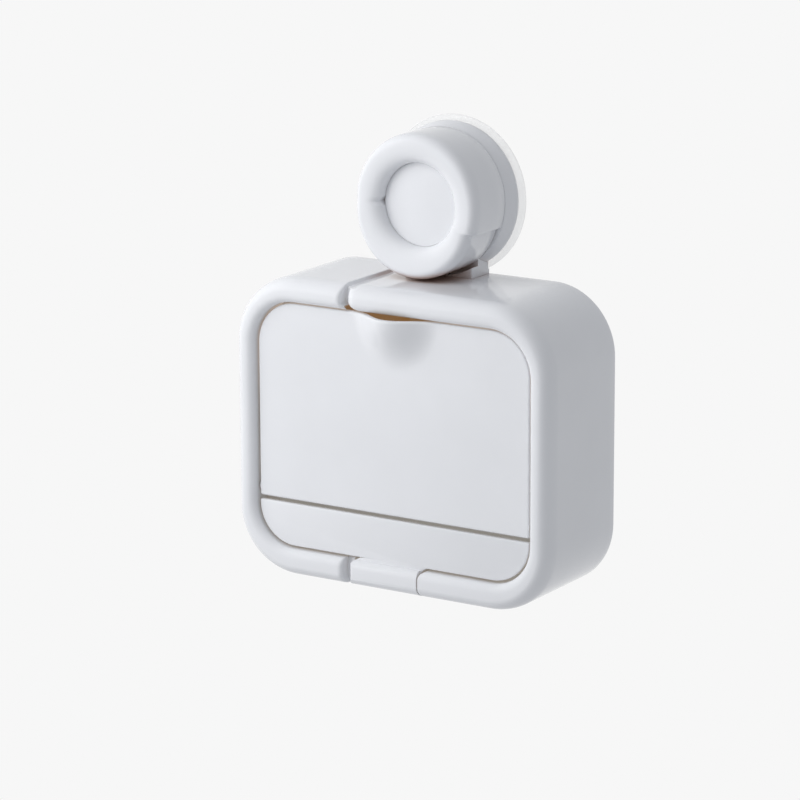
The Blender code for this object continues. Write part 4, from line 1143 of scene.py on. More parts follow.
    def split_mouth(self) -> Form:
        """Three-cornered mouth behind the split, where its floor meets the opening's upper edge.

        Returns:
            The cutter.
        """
        plan = self.plan
        edge = plan.opening.top
        left, right = self.mouth
        outline = np.array([(left, edge - OVERRUN), (right, edge - OVERRUN), (right, edge),
                            ((left + right) / 2 - self.mouth_lean, edge + self.mouth_rise), (left, edge)])
        front = plan.front + self.split_depth / 2
        return Form.carried("split_mouth", outline, front, plan.bezel_back + OVERRUN)

    def join_supports(self, housing: Form) -> None:
        """Join the screw bosses, the rack's ledges and the drawer's runners.

        Args:
            housing: The shell.
        """
        plan = self.plan
        inner = plan.box.half_width - plan.wall
        front = plan.bezel_back + OVERRUN
        for index, place in enumerate(plan.cover_screws):
            housing.join(Form.bar(f"boss_{index}", self.boss_radius, plan.bezel_back - ROOT,
                                  -self.boss_back, place))
        level = plan.middle - plan.tray_top + GAP
        tray_bottom = plan.opening.bottom + plan.tray_clearance
        floor = plan.bottom + plan.wall
        stop_front = -plan.tray_back + GAP
        for side in (-1, 1):
            ends = sorted((side * (inner - self.ledge_reach), side * (inner + ROOT)))
            housing.join(Form.block(f"ledge_{side}", (ends[0], front, level),
                                    (ends[1], -self.ledge_back, level + plan.ledge_thickness)))
            low = side * self.rail_x - self.rail_width / 2
            runner = np.array([(front, floor - ROOT), (-self.rail_back, floor - ROOT),
                               (-self.rail_back, tray_bottom + self.rail_stop),
                               (stop_front, tray_bottom + self.rail_stop),
                               (stop_front, tray_bottom - GAP), (front, tray_bottom - GAP)])
            housing.join(Form.carried(f"runner_{side}", eased(runner, self.runner_round, 2), low,
                                      low + self.rail_width, Axis.X))

    def join_catches(self, housing: Form) -> None:
        """Join the ears of the two magnets with their webs, and cut their pockets and the pins' bores.

        Args:
            housing: The shell.
        """
        plan = self.plan
        inner = plan.box.half_width - plan.wall
        edge = plan.opening.half_width
        front = plan.skirt_back + GAP
        back = front + self.ear_depth
        pocket = plan.magnet_radius + GAP
        for index, (x, z) in enumerate(plan.catches):
            housing.join(Form.bar(f"ear_{index}", pocket + self.ear_wall, front, back, (x, z)))
            ends = sorted((x, math.copysign(inner + ROOT, x)))
            housing.join(Form.block(f"web_{index}", (ends[0], front + GAP, z - self.web_half),
                                    (ends[1], back - GAP, z + self.web_half)))
            housing.cut(Form.bar(f"pocket_{index}", pocket, front - OVERRUN,
                                 front + plan.magnet_thickness + 2 * GAP, (x, z)))
            housing.cut(Form.bar(f"pin_bore_{index}", plan.pin_radius + GAP, math.copysign(edge - OVERRUN, x),
                                 math.copysign(edge + self.pin_depth + GAP, x), plan.hinge, Axis.X))

    def build(self) -> None:
        """Make the shell."""
        plan = self.plan
        housing = Form("housing_shell", self.surface(), ring=True)
        self.join_supports(housing)
        self.join_catches(housing)
        for index, place in enumerate(plan.cover_screws):
            housing.cut(Form.bar(f"screw_hole_{index}", plan.screw_radius + GAP, -self.screw_depth,
                                 OVERRUN, place))
        housing.cut(self.tab_notch(), self.split_mouth())
        neck = plan.neck_half_width + GAP
        housing.cut(Form.block("neck_notch", (-neck, -plan.neck_depth - GAP, plan.top - plan.wall - OVERRUN),
                               (neck, OVERRUN, plan.top + OVERRUN)))
        housing.finish(Slot.GLOSS, Body.BOX, "housing")


@dataclass
class FlapDoor:
    """Flap with its finger lip, return skirt, knuckles, pins and magnets."""

    plan: Plan = PLAN
    edge_round: float = 0.0007
    lower_corner: float = 0.0008
    skirt_inset: float = 0.001
    skirt_thickness: float = 0.0014
    skirt_round: float = 0.0003
    lip_peak: float = 0.0008
    lip_spread: Place = (0.0165, 0.0185)
    lip_drop: float = 0.0195
    lip_reach: float = 0.0071
    lip_ease: float = 2.5
    top_seam: float = 0.0006
    lip_wall: float = 0.0018
    lip_gap_margins: Place = (0.0012, 0.0005)
    lip_gap_drop: float = 0.006
    knuckle_radius: float = 0.0024
    knuckle_length: float = 0.010
    pin_span: Place = (0.008, 0.0045)
    pin_edge: float = 0.0003
    disc_edge: float = 0.0002
    cup_wall: float = 0.0013
    rings: int = 70

    @property
    def outline(self) -> RoundedRect:
        """Edge of the flap's plate, a seam inside the opening.

        Returns:
            The rounded rectangle.
        """
        plan = self.plan
        hole = plan.opening
        return RoundedRect(hole.half_width - SEAM, hole.top - self.top_seam, plan.middle - plan.flap_bottom,
                           plan.opening_corner - SEAM, self.lower_corner)

    def lip(self, x: Array, z: Array) -> Array:
        """Bulge of the finger lip: reach times a power of one less the squared distance from its peak.

        Args:
            x: X of the points.
            z: Z of the points.

        Returns:
            Distance that each point stands out of the flap's face.
        """
        side = np.where(x < self.lip_peak, self.lip_spread[0], self.lip_spread[1])
        across = (x - self.lip_peak) / side
        down = (self.outline.top - z) / self.lip_drop
        return self.lip_reach * np.maximum(1 - across ** 2 - down ** 2, 0) ** self.lip_ease

    def plate(self) -> Form:
        """Plate with the lip: rings of the edge, then rings drawn together to the middle, on both sides.

        Returns:
            The plate.
        """
        plan = self.plan
        outline = self.outline
        marks = plan.marks(76)
        angles = np.linspace(QUARTER, 0, 6)
        insets = self.edge_round * (1 - np.sin(angles))
        rim = np.stack([outline.inset(inset).loop(marks) for inset in insets])
        depth = self.edge_round * (1 - np.cos(angles))
        middle = np.array([0, (outline.top + outline.bottom) / 2])
        share = np.linspace(1, 0, self.rings + 1)[1:, None, None]
        centre = middle + (rim[-1] - middle) * share
        front = np.concatenate([rim, centre])
        front_depth = np.concatenate([depth, np.zeros(self.rings)])[:, None]
        back = np.concatenate([(middle + (rim[0] - middle) * share)[::-1], rim[:1]])
        lip = self.lip(front[..., 0], front[..., 1])
        back_lip = self.lip(back[..., 0], back[..., 1])
        thinning = 1 + (plan.face_thickness - self.lip_wall) / self.lip_reach
        y_front = plan.face + front_depth - lip
        y_back = plan.face + plan.face_thickness - thinning * back_lip
        points = np.concatenate([
            np.stack([back[..., 0], y_back, back[..., 1]], axis=-1),
            np.stack([front[..., 0], y_front, front[..., 1]], axis=-1)])
        return Form("flap_plate", points)

    def skirt(self) -> Form:
        """Return skirt behind the edge of the plate, open above where the lip stands.

        Returns:
            The skirt.
        """
        plan = self.plan
        root = plan.face + plan.face_thickness - ROOT
        outer = self.outline.inset(self.skirt_inset)
        inner = self.outline.inset(self.skirt_inset + self.skirt_thickness)
        rounding = self.skirt_round
        rows = [(outer, root), (outer, plan.skirt_back - rounding), (outer.inset(rounding), plan.skirt_back),
                (inner.inset(-rounding), plan.skirt_back), (inner, plan.skirt_back - rounding), (inner, root)]
        made = Form("skirt", carried_round(rows, plan.marks(25, inner=True)), ring=True)
        left = self.lip_peak - self.lip_spread[0] - self.lip_gap_margins[0]
        right = self.lip_peak + self.lip_spread[1] + self.lip_gap_margins[1]
        top = self.outline.top
        return made.cut(Form.block("lip_gap", (left, plan.face, top - self.lip_gap_drop),
                                   (right, plan.skirt_back + OVERRUN, top + OVERRUN)))

    def build_flap(self) -> None:
        """Make the flap: plate and skirt, then a bored knuckle and a magnet's cup on either side."""
        plan = self.plan
        outline = self.outline
        plate_back = plan.face + plan.face_thickness
        past = plan.skirt_back + OVERRUN
        radius = plan.magnet_radius + GAP
        limit = outline.inset(self.skirt_inset + self.skirt_thickness / 2).loop(plan.marks(25, inner=True))
        flap = self.plate().join(self.skirt())
        for index, (x, z) in enumerate(plan.catches):
            side = math.copysign(1, x)
            root = side * outline.half_width
            end = side * (outline.half_width - self.knuckle_length)
            flap.join(Form.bar(f"knuckle_{index}", self.knuckle_radius, root, end, plan.hinge, Axis.X))
            cup = Form.bar(f"cup_{index}", radius + self.cup_wall, plate_back - ROOT, plan.skirt_back, (x, z))
            flap.join(cup.keep(Form.carried(f"cup_limit_{index}", limit, plan.face, past)))
            flap.cut(Form.bar(f"magnet_pocket_{index}", radius, plate_back, past, (x, z)))
            flap.cut(Form.bar(f"knuckle_bore_{index}", plan.pin_radius + GAP, root + side * OVERRUN,
                              end - side * OVERRUN, plan.hinge, Axis.X))
        flap.finish(Slot.GLOSS, Body.FLAP, "flap_door")

    def build(self) -> None:
        """Make the flap, and on either side its magnet, the shell's magnet and the hinge pin."""
        plan = self.plan
        self.build_flap()
        back = plan.skirt_back - GAP
        front = plan.skirt_back + 2 * GAP
        for (x, z), label in zip(plan.catches, ("right", "left")):
            Form.bar("flap_disc_" + label, plan.magnet_radius, back - plan.magnet_thickness, back, (x, z),
                     edge=self.disc_edge).finish(Slot.MAGNET, Body.FLAP, "flap_magnet_" + label)
            Form.bar("frame_disc_" + label, plan.magnet_radius, front, front + plan.magnet_thickness, (x, z),
                     edge=self.disc_edge).finish(Slot.MAGNET, Body.BOX, "frame_magnet_" + label)
            side = math.copysign(1, x)
            Form.bar("pin_" + label, plan.pin_radius, side * (self.outline.half_width - self.pin_span[0]),
                     side * (plan.opening.half_width + self.pin_span[1]), plan.hinge, Axis.X,
                     edge=self.pin_edge).finish(Slot.STEEL, Body.FLAP, "hinge_pin_" + label)


@dataclass
class DripDrawer:
    """Basin behind a lower front panel, with the grip tab that fills the bezel's gap."""

    plan: Plan = PLAN
    panel_edge: float = 0.0004
    tray_wall: float = 0.0016
    tab_left_round: float = 0.0022
    tab_end_lead: float = 0.15

    def front_outline(self) -> Array:
        """Edge of the front panel with the root of the tab: straight sides joined by quarter circles.

        Returns:
            Array of (x, z) points.
        """
        plan = self.plan
        half = plan.opening.half_width - SEAM
        bottom = plan.opening.bottom + SEAM
        top = plan.middle - plan.drawer_top
        radius = plan.opening_lower_corner - SEAM
        crest = plan.bottom + plan.bead_width
        fillet = plan.tab_fillet
        return np.concatenate([
            [(half, top), (-half, top)],
            arc((-half + radius, bottom + radius), (radius, radius), math.pi, 3 * QUARTER, 24),
            [(plan.tab_end[0] - plan.tab_left, bottom)], self.tab_end(bottom),
            [(-plan.tab_left, crest), (plan.tab_right, crest)],
            arc((plan.tab_right + fillet, bottom - fillet), (fillet, fillet), math.pi, QUARTER, 10),
            arc((half - radius, bottom + radius), (radius, radius), -QUARTER, 0, 24)])

    def tab_end(self, level: float) -> Array:
        """Rounded upper left corner (x, z) of the tab, from a level down to its left side."""
        wide, deep = self.plan.tab_end
        centre = (wide - self.plan.tab_left, level - deep)
        return arc(centre, (wide, deep), QUARTER + self.tab_end_lead, math.pi, 8)

    def tab(self) -> Form:
        """Grip tab: the bezel's bead carried along X, eased into the front, its left end rounded.

        Returns:
            The tab.
        """
        plan = self.plan
        crest = plan.opening.bottom - plan.bezel_inner_round
        profile = np.concatenate([
            [(plan.front + plan.tab_depth, plan.bottom), (plan.front + plan.tab_depth, plan.opening.bottom),
             (plan.face + ROOT, plan.opening.bottom)],
            arc((plan.face, crest), (plan.face_recess, plan.bezel_inner_round), QUARTER, math.pi, 7),
            arc((plan.front + plan.bead_depth, plan.bottom + plan.bead_width),
                (plan.bead_depth, plan.bead_width), math.pi, 3 * QUARTER, 18)])
        made = Form.carried("tab", profile, -plan.tab_left, plan.tab_right, Axis.X)
        radius = self.tab_left_round
        left = -plan.tab_left
        corner = np.concatenate([
            [(left - OVERRUN, plan.front - OVERRUN), (left + radius, plan.front - OVERRUN)],
            arc((left + radius, plan.front + radius), (radius, radius), -QUARTER, -math.pi, 10),
            [(left - OVERRUN, plan.front + radius)]])
        end = self.tab_end(plan.opening.bottom + SEAM)
        end = np.concatenate([end, [(left - OVERRUN, end[-1, 1]), (left - OVERRUN, end[0, 1] + OVERRUN),
                                    (end[0, 0] + OVERRUN, end[0, 1] + OVERRUN)]])
        return made.cut(
            Form.carried("tab_corner", corner, plan.bottom - OVERRUN, plan.opening.bottom - ROOT, Axis.Z),
            Form.carried("tab_end", end, plan.front - OVERRUN, plan.front + plan.tab_depth + OVERRUN))

    def build(self) -> None:
        """Make the drawer."""
        plan = self.plan
        back = plan.face + plan.face_thickness
        drawer = Form.carried("drawer_front_and_tray", self.front_outline(), plan.face, back,
                              edge=self.panel_edge)
        outer = plan.opening.inset(plan.tray_clearance)
        level = plan.middle - plan.tray_top
        basin = replace(outer, top=level, top_corner=LEAST_RADIUS,
                        bottom_corner=min(outer.bottom_corner, level - outer.bottom - LEAST_RADIUS))
        marks = plan.marks(13, inner=True)
        hollow = replace(basin.inset(self.tray_wall), top=level + OVERRUN)
        drawer.join(Form.carried("tray_body", basin.loop(marks), back - ROOT, -plan.tray_back))
        drawer.join(self.tab())
        drawer.cut(Form.carried("tray_hollow", hollow.loop(marks), back + self.tray_wall / 2,
                                -plan.tray_back - self.tray_wall))
        drawer.finish(Slot.GLOSS, Body.DRAWER, "drip_drawer")


@dataclass
class SoapRack:
    """Lift-out plate with drain slots, raised ribs and a front lip."""

    plan: Plan = PLAN
    half_width: float = 0.05385
    front_space: float = 0.0012
    back: float = 0.0042
    corner: float = 0.003
    edge_round: float = 0.0004
    slots: int = 11
    pitch: float = 0.00889
    slot_width: float = 0.0042
    margin: float = 0.0034
    rib: Place = (0.0009, 0.0014)
    lip: Place = (0.0016, 0.0034)

    def slot(self, index: int, low: float, high: float, level: Place) -> Form:
        """One drain slot with round ends.

        Args:
            index: Its number from the left.
            low: Front end.
            high: Rear end.
            level: Levels that the cutter spans.

        Returns:
            The cutter.
        """
        x = (index - (self.slots - 1) / 2) * self.pitch
        radius = self.slot_width / 2
        outline = np.concatenate([arc((x, high - radius), (radius, radius), 0, math.pi, 14),
                                  arc((x, low + radius), (radius, radius), math.pi, FULL_TURN, 14)])
        return Form.carried(f"slot_{index}", outline, *level, Axis.Z)

    def build(self) -> None:
        """Make the rack."""
        plan = self.plan
        front = plan.bezel_back + self.front_space
        bottom, top = plan.rack_bottom, plan.rack_bottom + plan.rack_thickness
        half = self.half_width
        corners = np.array([(half, front), (half, -self.back), (-half, -self.back), (-half, front)])
        rack = Form.carried("rack_plate", eased(corners, self.corner, 10), bottom, top, Axis.Z,
                            edge=self.edge_round)
        lip_half = half - self.corner
        rack.join(Form.block("rack_lip", (-lip_half, front + GAP, top - ROOT),
                             (lip_half, front + GAP + self.lip[0], top + self.lip[1]), self.edge_round))
        low, high = front + self.margin, -self.back - self.margin
        for index in range(self.slots - 1):
            x = (index - (self.slots - 2) / 2) * self.pitch
            profile = np.concatenate([arc((x, top), self.rib, 0, math.pi, 10),
                                      [(x - self.rib[0], top - ROOT), (x + self.rib[0], top - ROOT)]])
            rack.join(Form.carried(f"rib_{index}", profile, low, high, Axis.Y))
        for index in range(self.slots):
            rack.cut(self.slot(index, low, high, (bottom - OVERRUN, top + OVERRUN)))
        rack.finish(Slot.INNER, Body.BOX, "soap_rack")


@dataclass
class BackCover:
    """Plate in the shell's rebate, with the pocket for the bracket's tongue, and its screws."""

    plan: Plan = PLAN
    rebate_width: float = 0.0012
    thickness: float = 0.0022
    pad_radius: float = 0.0044
    pad_depth: float = 0.0016
    pocket_wall: float = 0.0018
    boss_wall: float = 0.0022
    boss_floor: float = 0.0009
    screw_length: float = 0.010
    bracket_screw_length: float = 0.006
    screw_tip: float = 0.0015
    plate_edge: float = 0.0003
    recess: Place = (0.0005, 0.0016)
    recess_depth: float = 0.0008
    thread_start: float = 0.0008
    thread_turns: int = 9
    thread_core_share: float = 0.82

    @property
    def pocket_floor(self) -> float:
        """Front of the space for the tongue."""
        return -self.plan.tongue_back - self.plan.tongue_thickness - GAP

    def build_cover(self) -> None:
        """Make the cover."""
        plan = self.plan
        back, front = -GAP, -GAP - self.thickness
        pad_front = front - self.pad_depth
        marks = plan.marks(26)
        plate = plan.box.inset(plan.wall - self.rebate_width + GAP)
        cover = Form.carried("cover_plate", plate.loop(marks), front, back, edge=self.plate_edge)
        limit = plan.box.inset(plan.wall + GAP).loop(marks)
        for index, place in enumerate(plan.cover_screws):
            pad = Form.bar(f"pad_{index}", self.pad_radius, pad_front, front + ROOT, place)
            cover.join(pad.keep(Form.carried(f"pad_limit_{index}", limit, pad_front - OVERRUN, back)))
        inner = plan.neck_half_width + GAP
        top = plan.top - plan.wall
        tongue_bottom = top - plan.tongue_length
        tip = -plan.tongue_back - GAP - self.bracket_screw_length
        outer = inner + self.pocket_wall
        cover.join(Form.block("pocket_walls", (-outer, self.pocket_floor - self.pocket_wall,
                                               tongue_bottom - GAP - self.pocket_wall),
                              (outer, front + ROOT, top - GAP)))
        for index, place in enumerate(plan.bracket_screws):
            cover.join(Form.bar(f"boss_{index}", plan.screw_radius + GAP + self.boss_wall,
                                tip - GAP - self.boss_floor, self.pocket_floor - ROOT, place))
        cover.cut(Form.block("pocket", (-inner, self.pocket_floor, tongue_bottom - GAP),
                             (inner, OVERRUN, plan.top + OVERRUN)))
        hole = plan.screw_radius + GAP
        for index, place in enumerate(plan.bracket_screws):
            cover.cut(Form.bar(f"tongue_hole_{index}", hole, tip - GAP, self.pocket_floor + OVERRUN, place))
        head_radius, head_height = plan.screw_head
        for index, place in enumerate(plan.cover_screws):
            cover.cut(Form.bar(f"cover_hole_{index}", hole, pad_front - OVERRUN, OVERRUN, place))
            cover.cut(Form.bar(f"counterbore_{index}", head_radius + GAP, back - head_height - 2 * GAP,
                               OVERRUN, place))
        cover.finish(Slot.INNER, Body.BOX, "back_cover")

    def screw(self, node: str, place: Place, head: float, length: float) -> None:
        """Make a screw with a low round head and a cross recess, driven in from the wall side.

        Args:
            node: Node that it stands for.
            place: X and Z of its axis.
            head: Y of the top of its head.
            length: Its whole length.
        """
        radius, height = self.plan.screw_head
        shank = self.plan.screw_radius
        dome = arc((0, -height), (radius, height), QUARTER, 0, 8)
        count = 2 * self.thread_turns + 1
        turns = np.linspace(-height - self.thread_start, self.screw_tip - length, count)
        core = self.thread_core_share * shank
        thread = np.stack([np.where(np.arange(count) % 2, shank, core), turns], axis=1)
        thread[0, 0] = shank
        profile = np.concatenate([dome, [(shank, -height)], thread, [(0.0, -length)]])
        screw = Form.turned(node + "_turned", profile * (1, -1) - (0, head), place, 40)
        width, reach = self.recess
        for index, (across, rise) in enumerate(((reach, width / 2), (width / 2, reach))):
            low = (place[0] - across, head - self.recess_depth, place[1] - rise)
            high = (place[0] + across, head + OVERRUN, place[1] + rise)
            screw.cut(Form.block(f"recess_{index}", low, high))
        screw.finish(Slot.STEEL, Body.BOX, node)

    def build(self) -> None:
        """Make the cover and all six screws."""
        self.build_cover()
        for index, place in enumerate(self.plan.cover_screws):
            self.screw(f"cover_screw_{index + 1}", place, -2 * GAP, self.screw_length)
        for index, place in enumerate(self.plan.bracket_screws):
            self.screw(f"bracket_screw_{index + 1}", place, -self.plan.tongue_back - GAP,
                       self.bracket_screw_length)


@dataclass
class MountBracket:
    """Pressure cup with its guide tower, the neck into the box's top, and the tongue."""

    plan: Plan = PLAN
    radius: float = 0.0256
    top_radius: float = 0.0240
    back: float = 0.0016
    band: float = 0.0014
    height: float = 0.008
    rim_width: float = 0.0018
    roof: float = 0.0026
    roof_radius: float = 0.0195
    tower: Place = (0.012, 0.014)
    tower_wall: float = 0.0026
    cup_round: float = 0.0006
    neck_round: float = 0.0005
    knob_reach: float = 0.0257136

    def cup(self) -> Form:
        """Cup and tower in one turned profile, solid so far.

        Returns:
            The solid.
        """
        radius, height = self.tower
        outside = np.array([(0, height), (radius, height), (radius, self.height),
                            (self.top_radius, self.height), (self.radius, self.back + self.band),
                            (self.radius, self.back), (0, self.back)])
        return Form.turned("bracket_cup", eased(outside, self.cup_round, 4, closed=False), steps=144)

    def neck(self) -> Form:
        """Neck from the cup into the box's top, with the tongue hanging from it.

        Returns:
            The solid.
        """
        plan = self.plan
        top = -math.sqrt(self.top_radius ** 2 - plan.neck_half_width ** 2) + ROOT
        ceiling = plan.top - plan.wall
        tip = ceiling - plan.tongue_length
        back = -plan.tongue_back
        front = back - plan.tongue_thickness
        profile = np.array([(back, top), (back, tip), (front, tip), (front, ceiling),
                            (-plan.neck_depth, ceiling), (-plan.neck_depth, top)])
        return Form.carried("neck", profile, -plan.neck_half_width, plan.neck_half_width, Axis.X,
                            self.neck_round)

    def hollows(self) -> list[Form]:
        """Turned cutters: the ring that the knob sweeps, the pad's space, the cup's inside, the stud's guide.

        Returns:
            The cutters.
        """
        plan = self.plan
        radius, height = self.tower
        sweep = self.knob_reach + GAP
        inner = radius + OVERRUN
        base = self.height + GAP / 2
        swept = [(inner, plan.knob_front), (sweep, plan.knob_front), (sweep, base), (inner, base)]
        rim = self.radius - self.rim_width
        pad = plan.pad_radius + GAP
        space = [(rim - ROOT, self.back), (pad, self.back), (pad, -OVERRUN), (rim - ROOT, -OVERRUN)]
        ceiling = self.height - self.roof
        tower_inside = radius - self.tower_wall
        inside = [(0, height - self.tower_wall), (tower_inside, height - self.tower_wall),
                  (tower_inside, ceiling), (self.roof_radius, ceiling), (rim, self.back), (rim, -OVERRUN),
                  (0, -OVERRUN)]
        return [Form.turned("knob_sweep", swept, steps=144, closed=True),
                Form.turned("pad_space", space, steps=144, closed=True),
                Form.turned("cup_hollow", inside, steps=144),
                Form.bar("stud_guide", plan.stud_radius + GAP, -height - OVERRUN, 0, (0, 0))]

    def build(self) -> None:
        """Make the bracket."""
        plan = self.plan
        bracket = self.cup().join(self.neck()).cut(*self.hollows())
        tongue_front = -plan.tongue_back - plan.tongue_thickness
        head_radius, head_height = plan.screw_head
        for index, place in enumerate(plan.bracket_screws):
            bracket.cut(Form.bar(f"hole_{index}", plan.screw_radius + GAP, tongue_front - OVERRUN,
                                 OVERRUN, place))
            bracket.cut(Form.bar(f"counterbore_{index}", head_radius + GAP,
                                 -plan.tongue_back - head_height - 2 * GAP, OVERRUN, place))
        bracket.finish(Slot.GLOSS, Body.BOX, "mount_bracket")


@dataclass
class SuctionPad:
    """Clear soft disc in two pieces: the rim that stays on the wall, and the film that the stud draws."""

    plan: Plan = PLAN
    edge: float = 0.0012
    edge_slope: float = 0.0002
    edge_round: float = 0.0004
    seat: float = 0.0212
    dome: float = 0.003
    boss_radius: float = 0.008
    boss_top: float = 0.0084

    def build(self) -> None:
        """Make the rim and the film."""
        plan = self.plan
        rim = np.array([(self.seat, self.edge), (plan.pad_radius - self.edge_slope, self.edge),
                        (plan.pad_radius, self.edge / 2), (plan.pad_radius, 0.0), (self.seat, 0.0)])
        Form.turned("pad_rim", eased(rim, self.edge_round, 4), steps=160, closed=True).finish(
            Slot.CLEAR, Body.BOX, "suction_pad")
        share = np.linspace(0, 1, 25)
        above = np.stack([self.boss_radius + (self.seat - self.boss_radius) * share,
                          self.edge + self.dome * (1 + np.cos(math.pi * share)) / 2], axis=1)
        below = np.stack([self.seat * (1 - share), self.dome * (1 - np.cos(math.pi * share)) / 2], axis=1)
        head_radius, head_height = plan.stud_head
        top, bottom = plan.stud_base + head_height + GAP, plan.stud_base - GAP
        inner = plan.stud_radius + GAP
        boss = np.array([(inner, self.boss_top), (self.boss_radius - ROOT, self.boss_top),
                         (self.boss_radius, self.boss_top - ROOT)])
        socket = np.array([(0, bottom), (head_radius + GAP, bottom), (head_radius + GAP, top), (inner, top)])
        profile = np.concatenate([boss, above, below, socket])
        film = Form.turned("pad_film", profile, steps=160, closed=True).finish(
            Slot.CLEAR, None, "suction_pad")
        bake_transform(film)


@dataclass
class TurnKnob:
    """Knob with a ring of two unequal halves round its recess, its cap and its nut."""

    plan: Plan = PLAN
    rear: float = 0.0084
    radius: float = 0.0241
    upper_rise: float = 0.0004
    lower_radius: float = 0.02285
    lower_centre: Place = (-0.0012, -0.0026)
    wall: float = 0.0025
    bead: Place = (0.0034, 0.005)
    recess_radius: float = 0.0143
    cap_level: float = 0.023
    cap_thickness: float = 0.002
    cap_edge: float = 0.00006
    cap_seam: float = GAP / 6
    inner_depth: float = 0.005
    web: float = 0.0021
    hub_radius: float = 0.008
    hub_base: float = 0.0154
    notch_depth: float = 0.0011
    notch_angle: float = 6.0
    step_angle: float = 339.0
    step_ease: float = 1.4
    left_angle: float = 180.0
    left_ease: float = 10.0
    inner_fullness: float = 2.5
    bead_fullness: float = 2.3
    wall_station: float = 0.006
    rear_round: float = 0.0004
    nut: Place = (0.010, 0.0036)
    nut_flat: float = 0.0001
    nut_overhang: float = 0.0009
    nut_chamfer: float = 0.0006
    columns: int = 288

    def ring(self, radius: float, follow: float, dent: float = 0.0) -> Array:
        """One ring of the knob: where rays from the axis meet the circle of the half that they cross.

        The halves pass into each other at the step on the right and more slowly on the left, where a
        notch runs to its full depth and back as the angle passes the left.

        Args:
            radius: Radius of the upper half.
            follow: 0 for a plain circle, 1 for the full difference of the two halves.
            dent: Depth of the notch on the left.

        Returns:
            Array of (x, z) points.
        """
        angle = np.linspace(0, FULL_TURN, self.columns, endpoint=False)
        degrees = np.degrees(angle)
        reaches = []
        for size, (x, z) in ((radius, (0.0, follow * self.upper_rise)),
                             (radius - follow * (self.radius - self.lower_radius),
                              (follow * self.lower_centre[0], follow * self.lower_centre[1]))):
            along = np.cos(angle) * x + np.sin(angle) * z
            reaches.append(along + np.sqrt(along ** 2 + size ** 2 - x * x - z * z))
        lower = smooth_step(degrees, self.left_angle - self.left_ease, self.left_angle + self.left_ease) * (
            1 - smooth_step(degrees, self.step_angle - self.step_ease, self.step_angle + self.step_ease))
        vee = np.clip(1 - np.abs(degrees - self.left_angle) / self.notch_angle, 0, 1)
        reach = reaches[0] * (1 - lower) + reaches[1] * lower - dent * vee
        return np.stack([reach * np.cos(angle), reach * np.sin(angle)], axis=1)

    def rows(self) -> Array:
        """Rings of the hollow drum from the bore over the beaded front and back inside its wall.

        Returns:
            Array of rows by columns by 3, closed both ways.
        """
        wide, deep = self.bead
        crest = self.radius - wide
        bead_base = self.plan.knob_front - deep
        floor = self.cap_level - self.cap_thickness - GAP
        start = self.radius - self.wall
        roof = self.plan.knob_front - 2 * self.web
        core = self.recess_radius + self.web
        rings = [(self.plan.bore, 0.0, 0.0, floor), (self.recess_radius, 0.0, 0.0, floor)]
        for radius, level in arc((crest, self.plan.knob_front - self.inner_depth),
                                 (crest - self.recess_radius, self.inner_depth), math.pi, QUARTER, 20,
                                 self.inner_fullness):
            follow = (radius - self.recess_radius) / (crest - self.recess_radius)
            rings.append((radius, follow, -self.notch_depth * (1 - follow), level))
        for radius, level in arc((crest, bead_base), (wide, deep), QUARTER, 0, 22, self.bead_fullness)[1:]:
            rings.append((radius, 1.0, 0.0, level))
        rings += [(self.radius, 1.0, 0.0, self.rear + self.wall_station),
                  (self.radius, 1.0, 0.0, self.rear + self.rear_round),
                  (self.radius - self.rear_round / 4, 1.0, 0.0, self.rear + self.rear_round / 4),
                  (self.radius - self.rear_round, 1.0, 0.0, self.rear),
                  (start, 1.0, 0.0, self.rear), (start, 1.0, 0.0, bead_base),
                  (crest + self.web, 1.0, 0.0, roof), (crest - self.web, 0.5, 0.0, roof),
                  (core, 0.0, 0.0, floor),
                  (core, 0.0, 0.0, floor - self.web), (self.plan.bore, 0.0, 0.0, floor - self.web)]
        outlines = np.stack([self.ring(radius, follow, dent) for radius, follow, dent, _ in rings])
        levels = -np.array([level for *_, level in rings])[:, None] + 0 * outlines[..., 0]
        return np.stack([outlines[..., 0], levels, outlines[..., 1]], axis=-1)

    def build_drum(self, floor: float, nut_base: float) -> None:
        """Make the knob: the drum with its hub and the nut's pocket.

        Args:
            floor: Height of the recess's floor over the wall.
            nut_base: Height of the nut's underside over the wall.
        """
        bore = self.plan.bore
        knob = Form("knob_drum", self.rows(), ring=True)
        hub = [(bore, floor - ROOT), (self.hub_radius, floor - ROOT), (self.hub_radius, self.hub_base),
               (bore, self.hub_base)]
        knob.join(Form.turned("hub", hub, steps=72, closed=True))
        corner = (self.nut[0] / 2 + GAP) * FLATS_TO_CORNER
        knob.cut(Form.bar("nut_pocket", corner, -floor - OVERRUN, -nut_base + GAP, (0, 0), steps=6))
        knob.finish(Slot.GLOSS, Body.KNOB, "turn_knob")

    def build_cap(self) -> None:
        """Make the cap in the recess."""
        edge = self.recess_radius - self.cap_seam
        base = self.cap_level - self.cap_thickness
        cap = np.array([(0, self.cap_level), (edge, self.cap_level), (edge, base), (0, base)])
        Form.turned("recess_cap", eased(cap, self.cap_edge, 3, closed=False), steps=160).finish(
            Slot.GLOSS, Body.KNOB, "knob_cap")

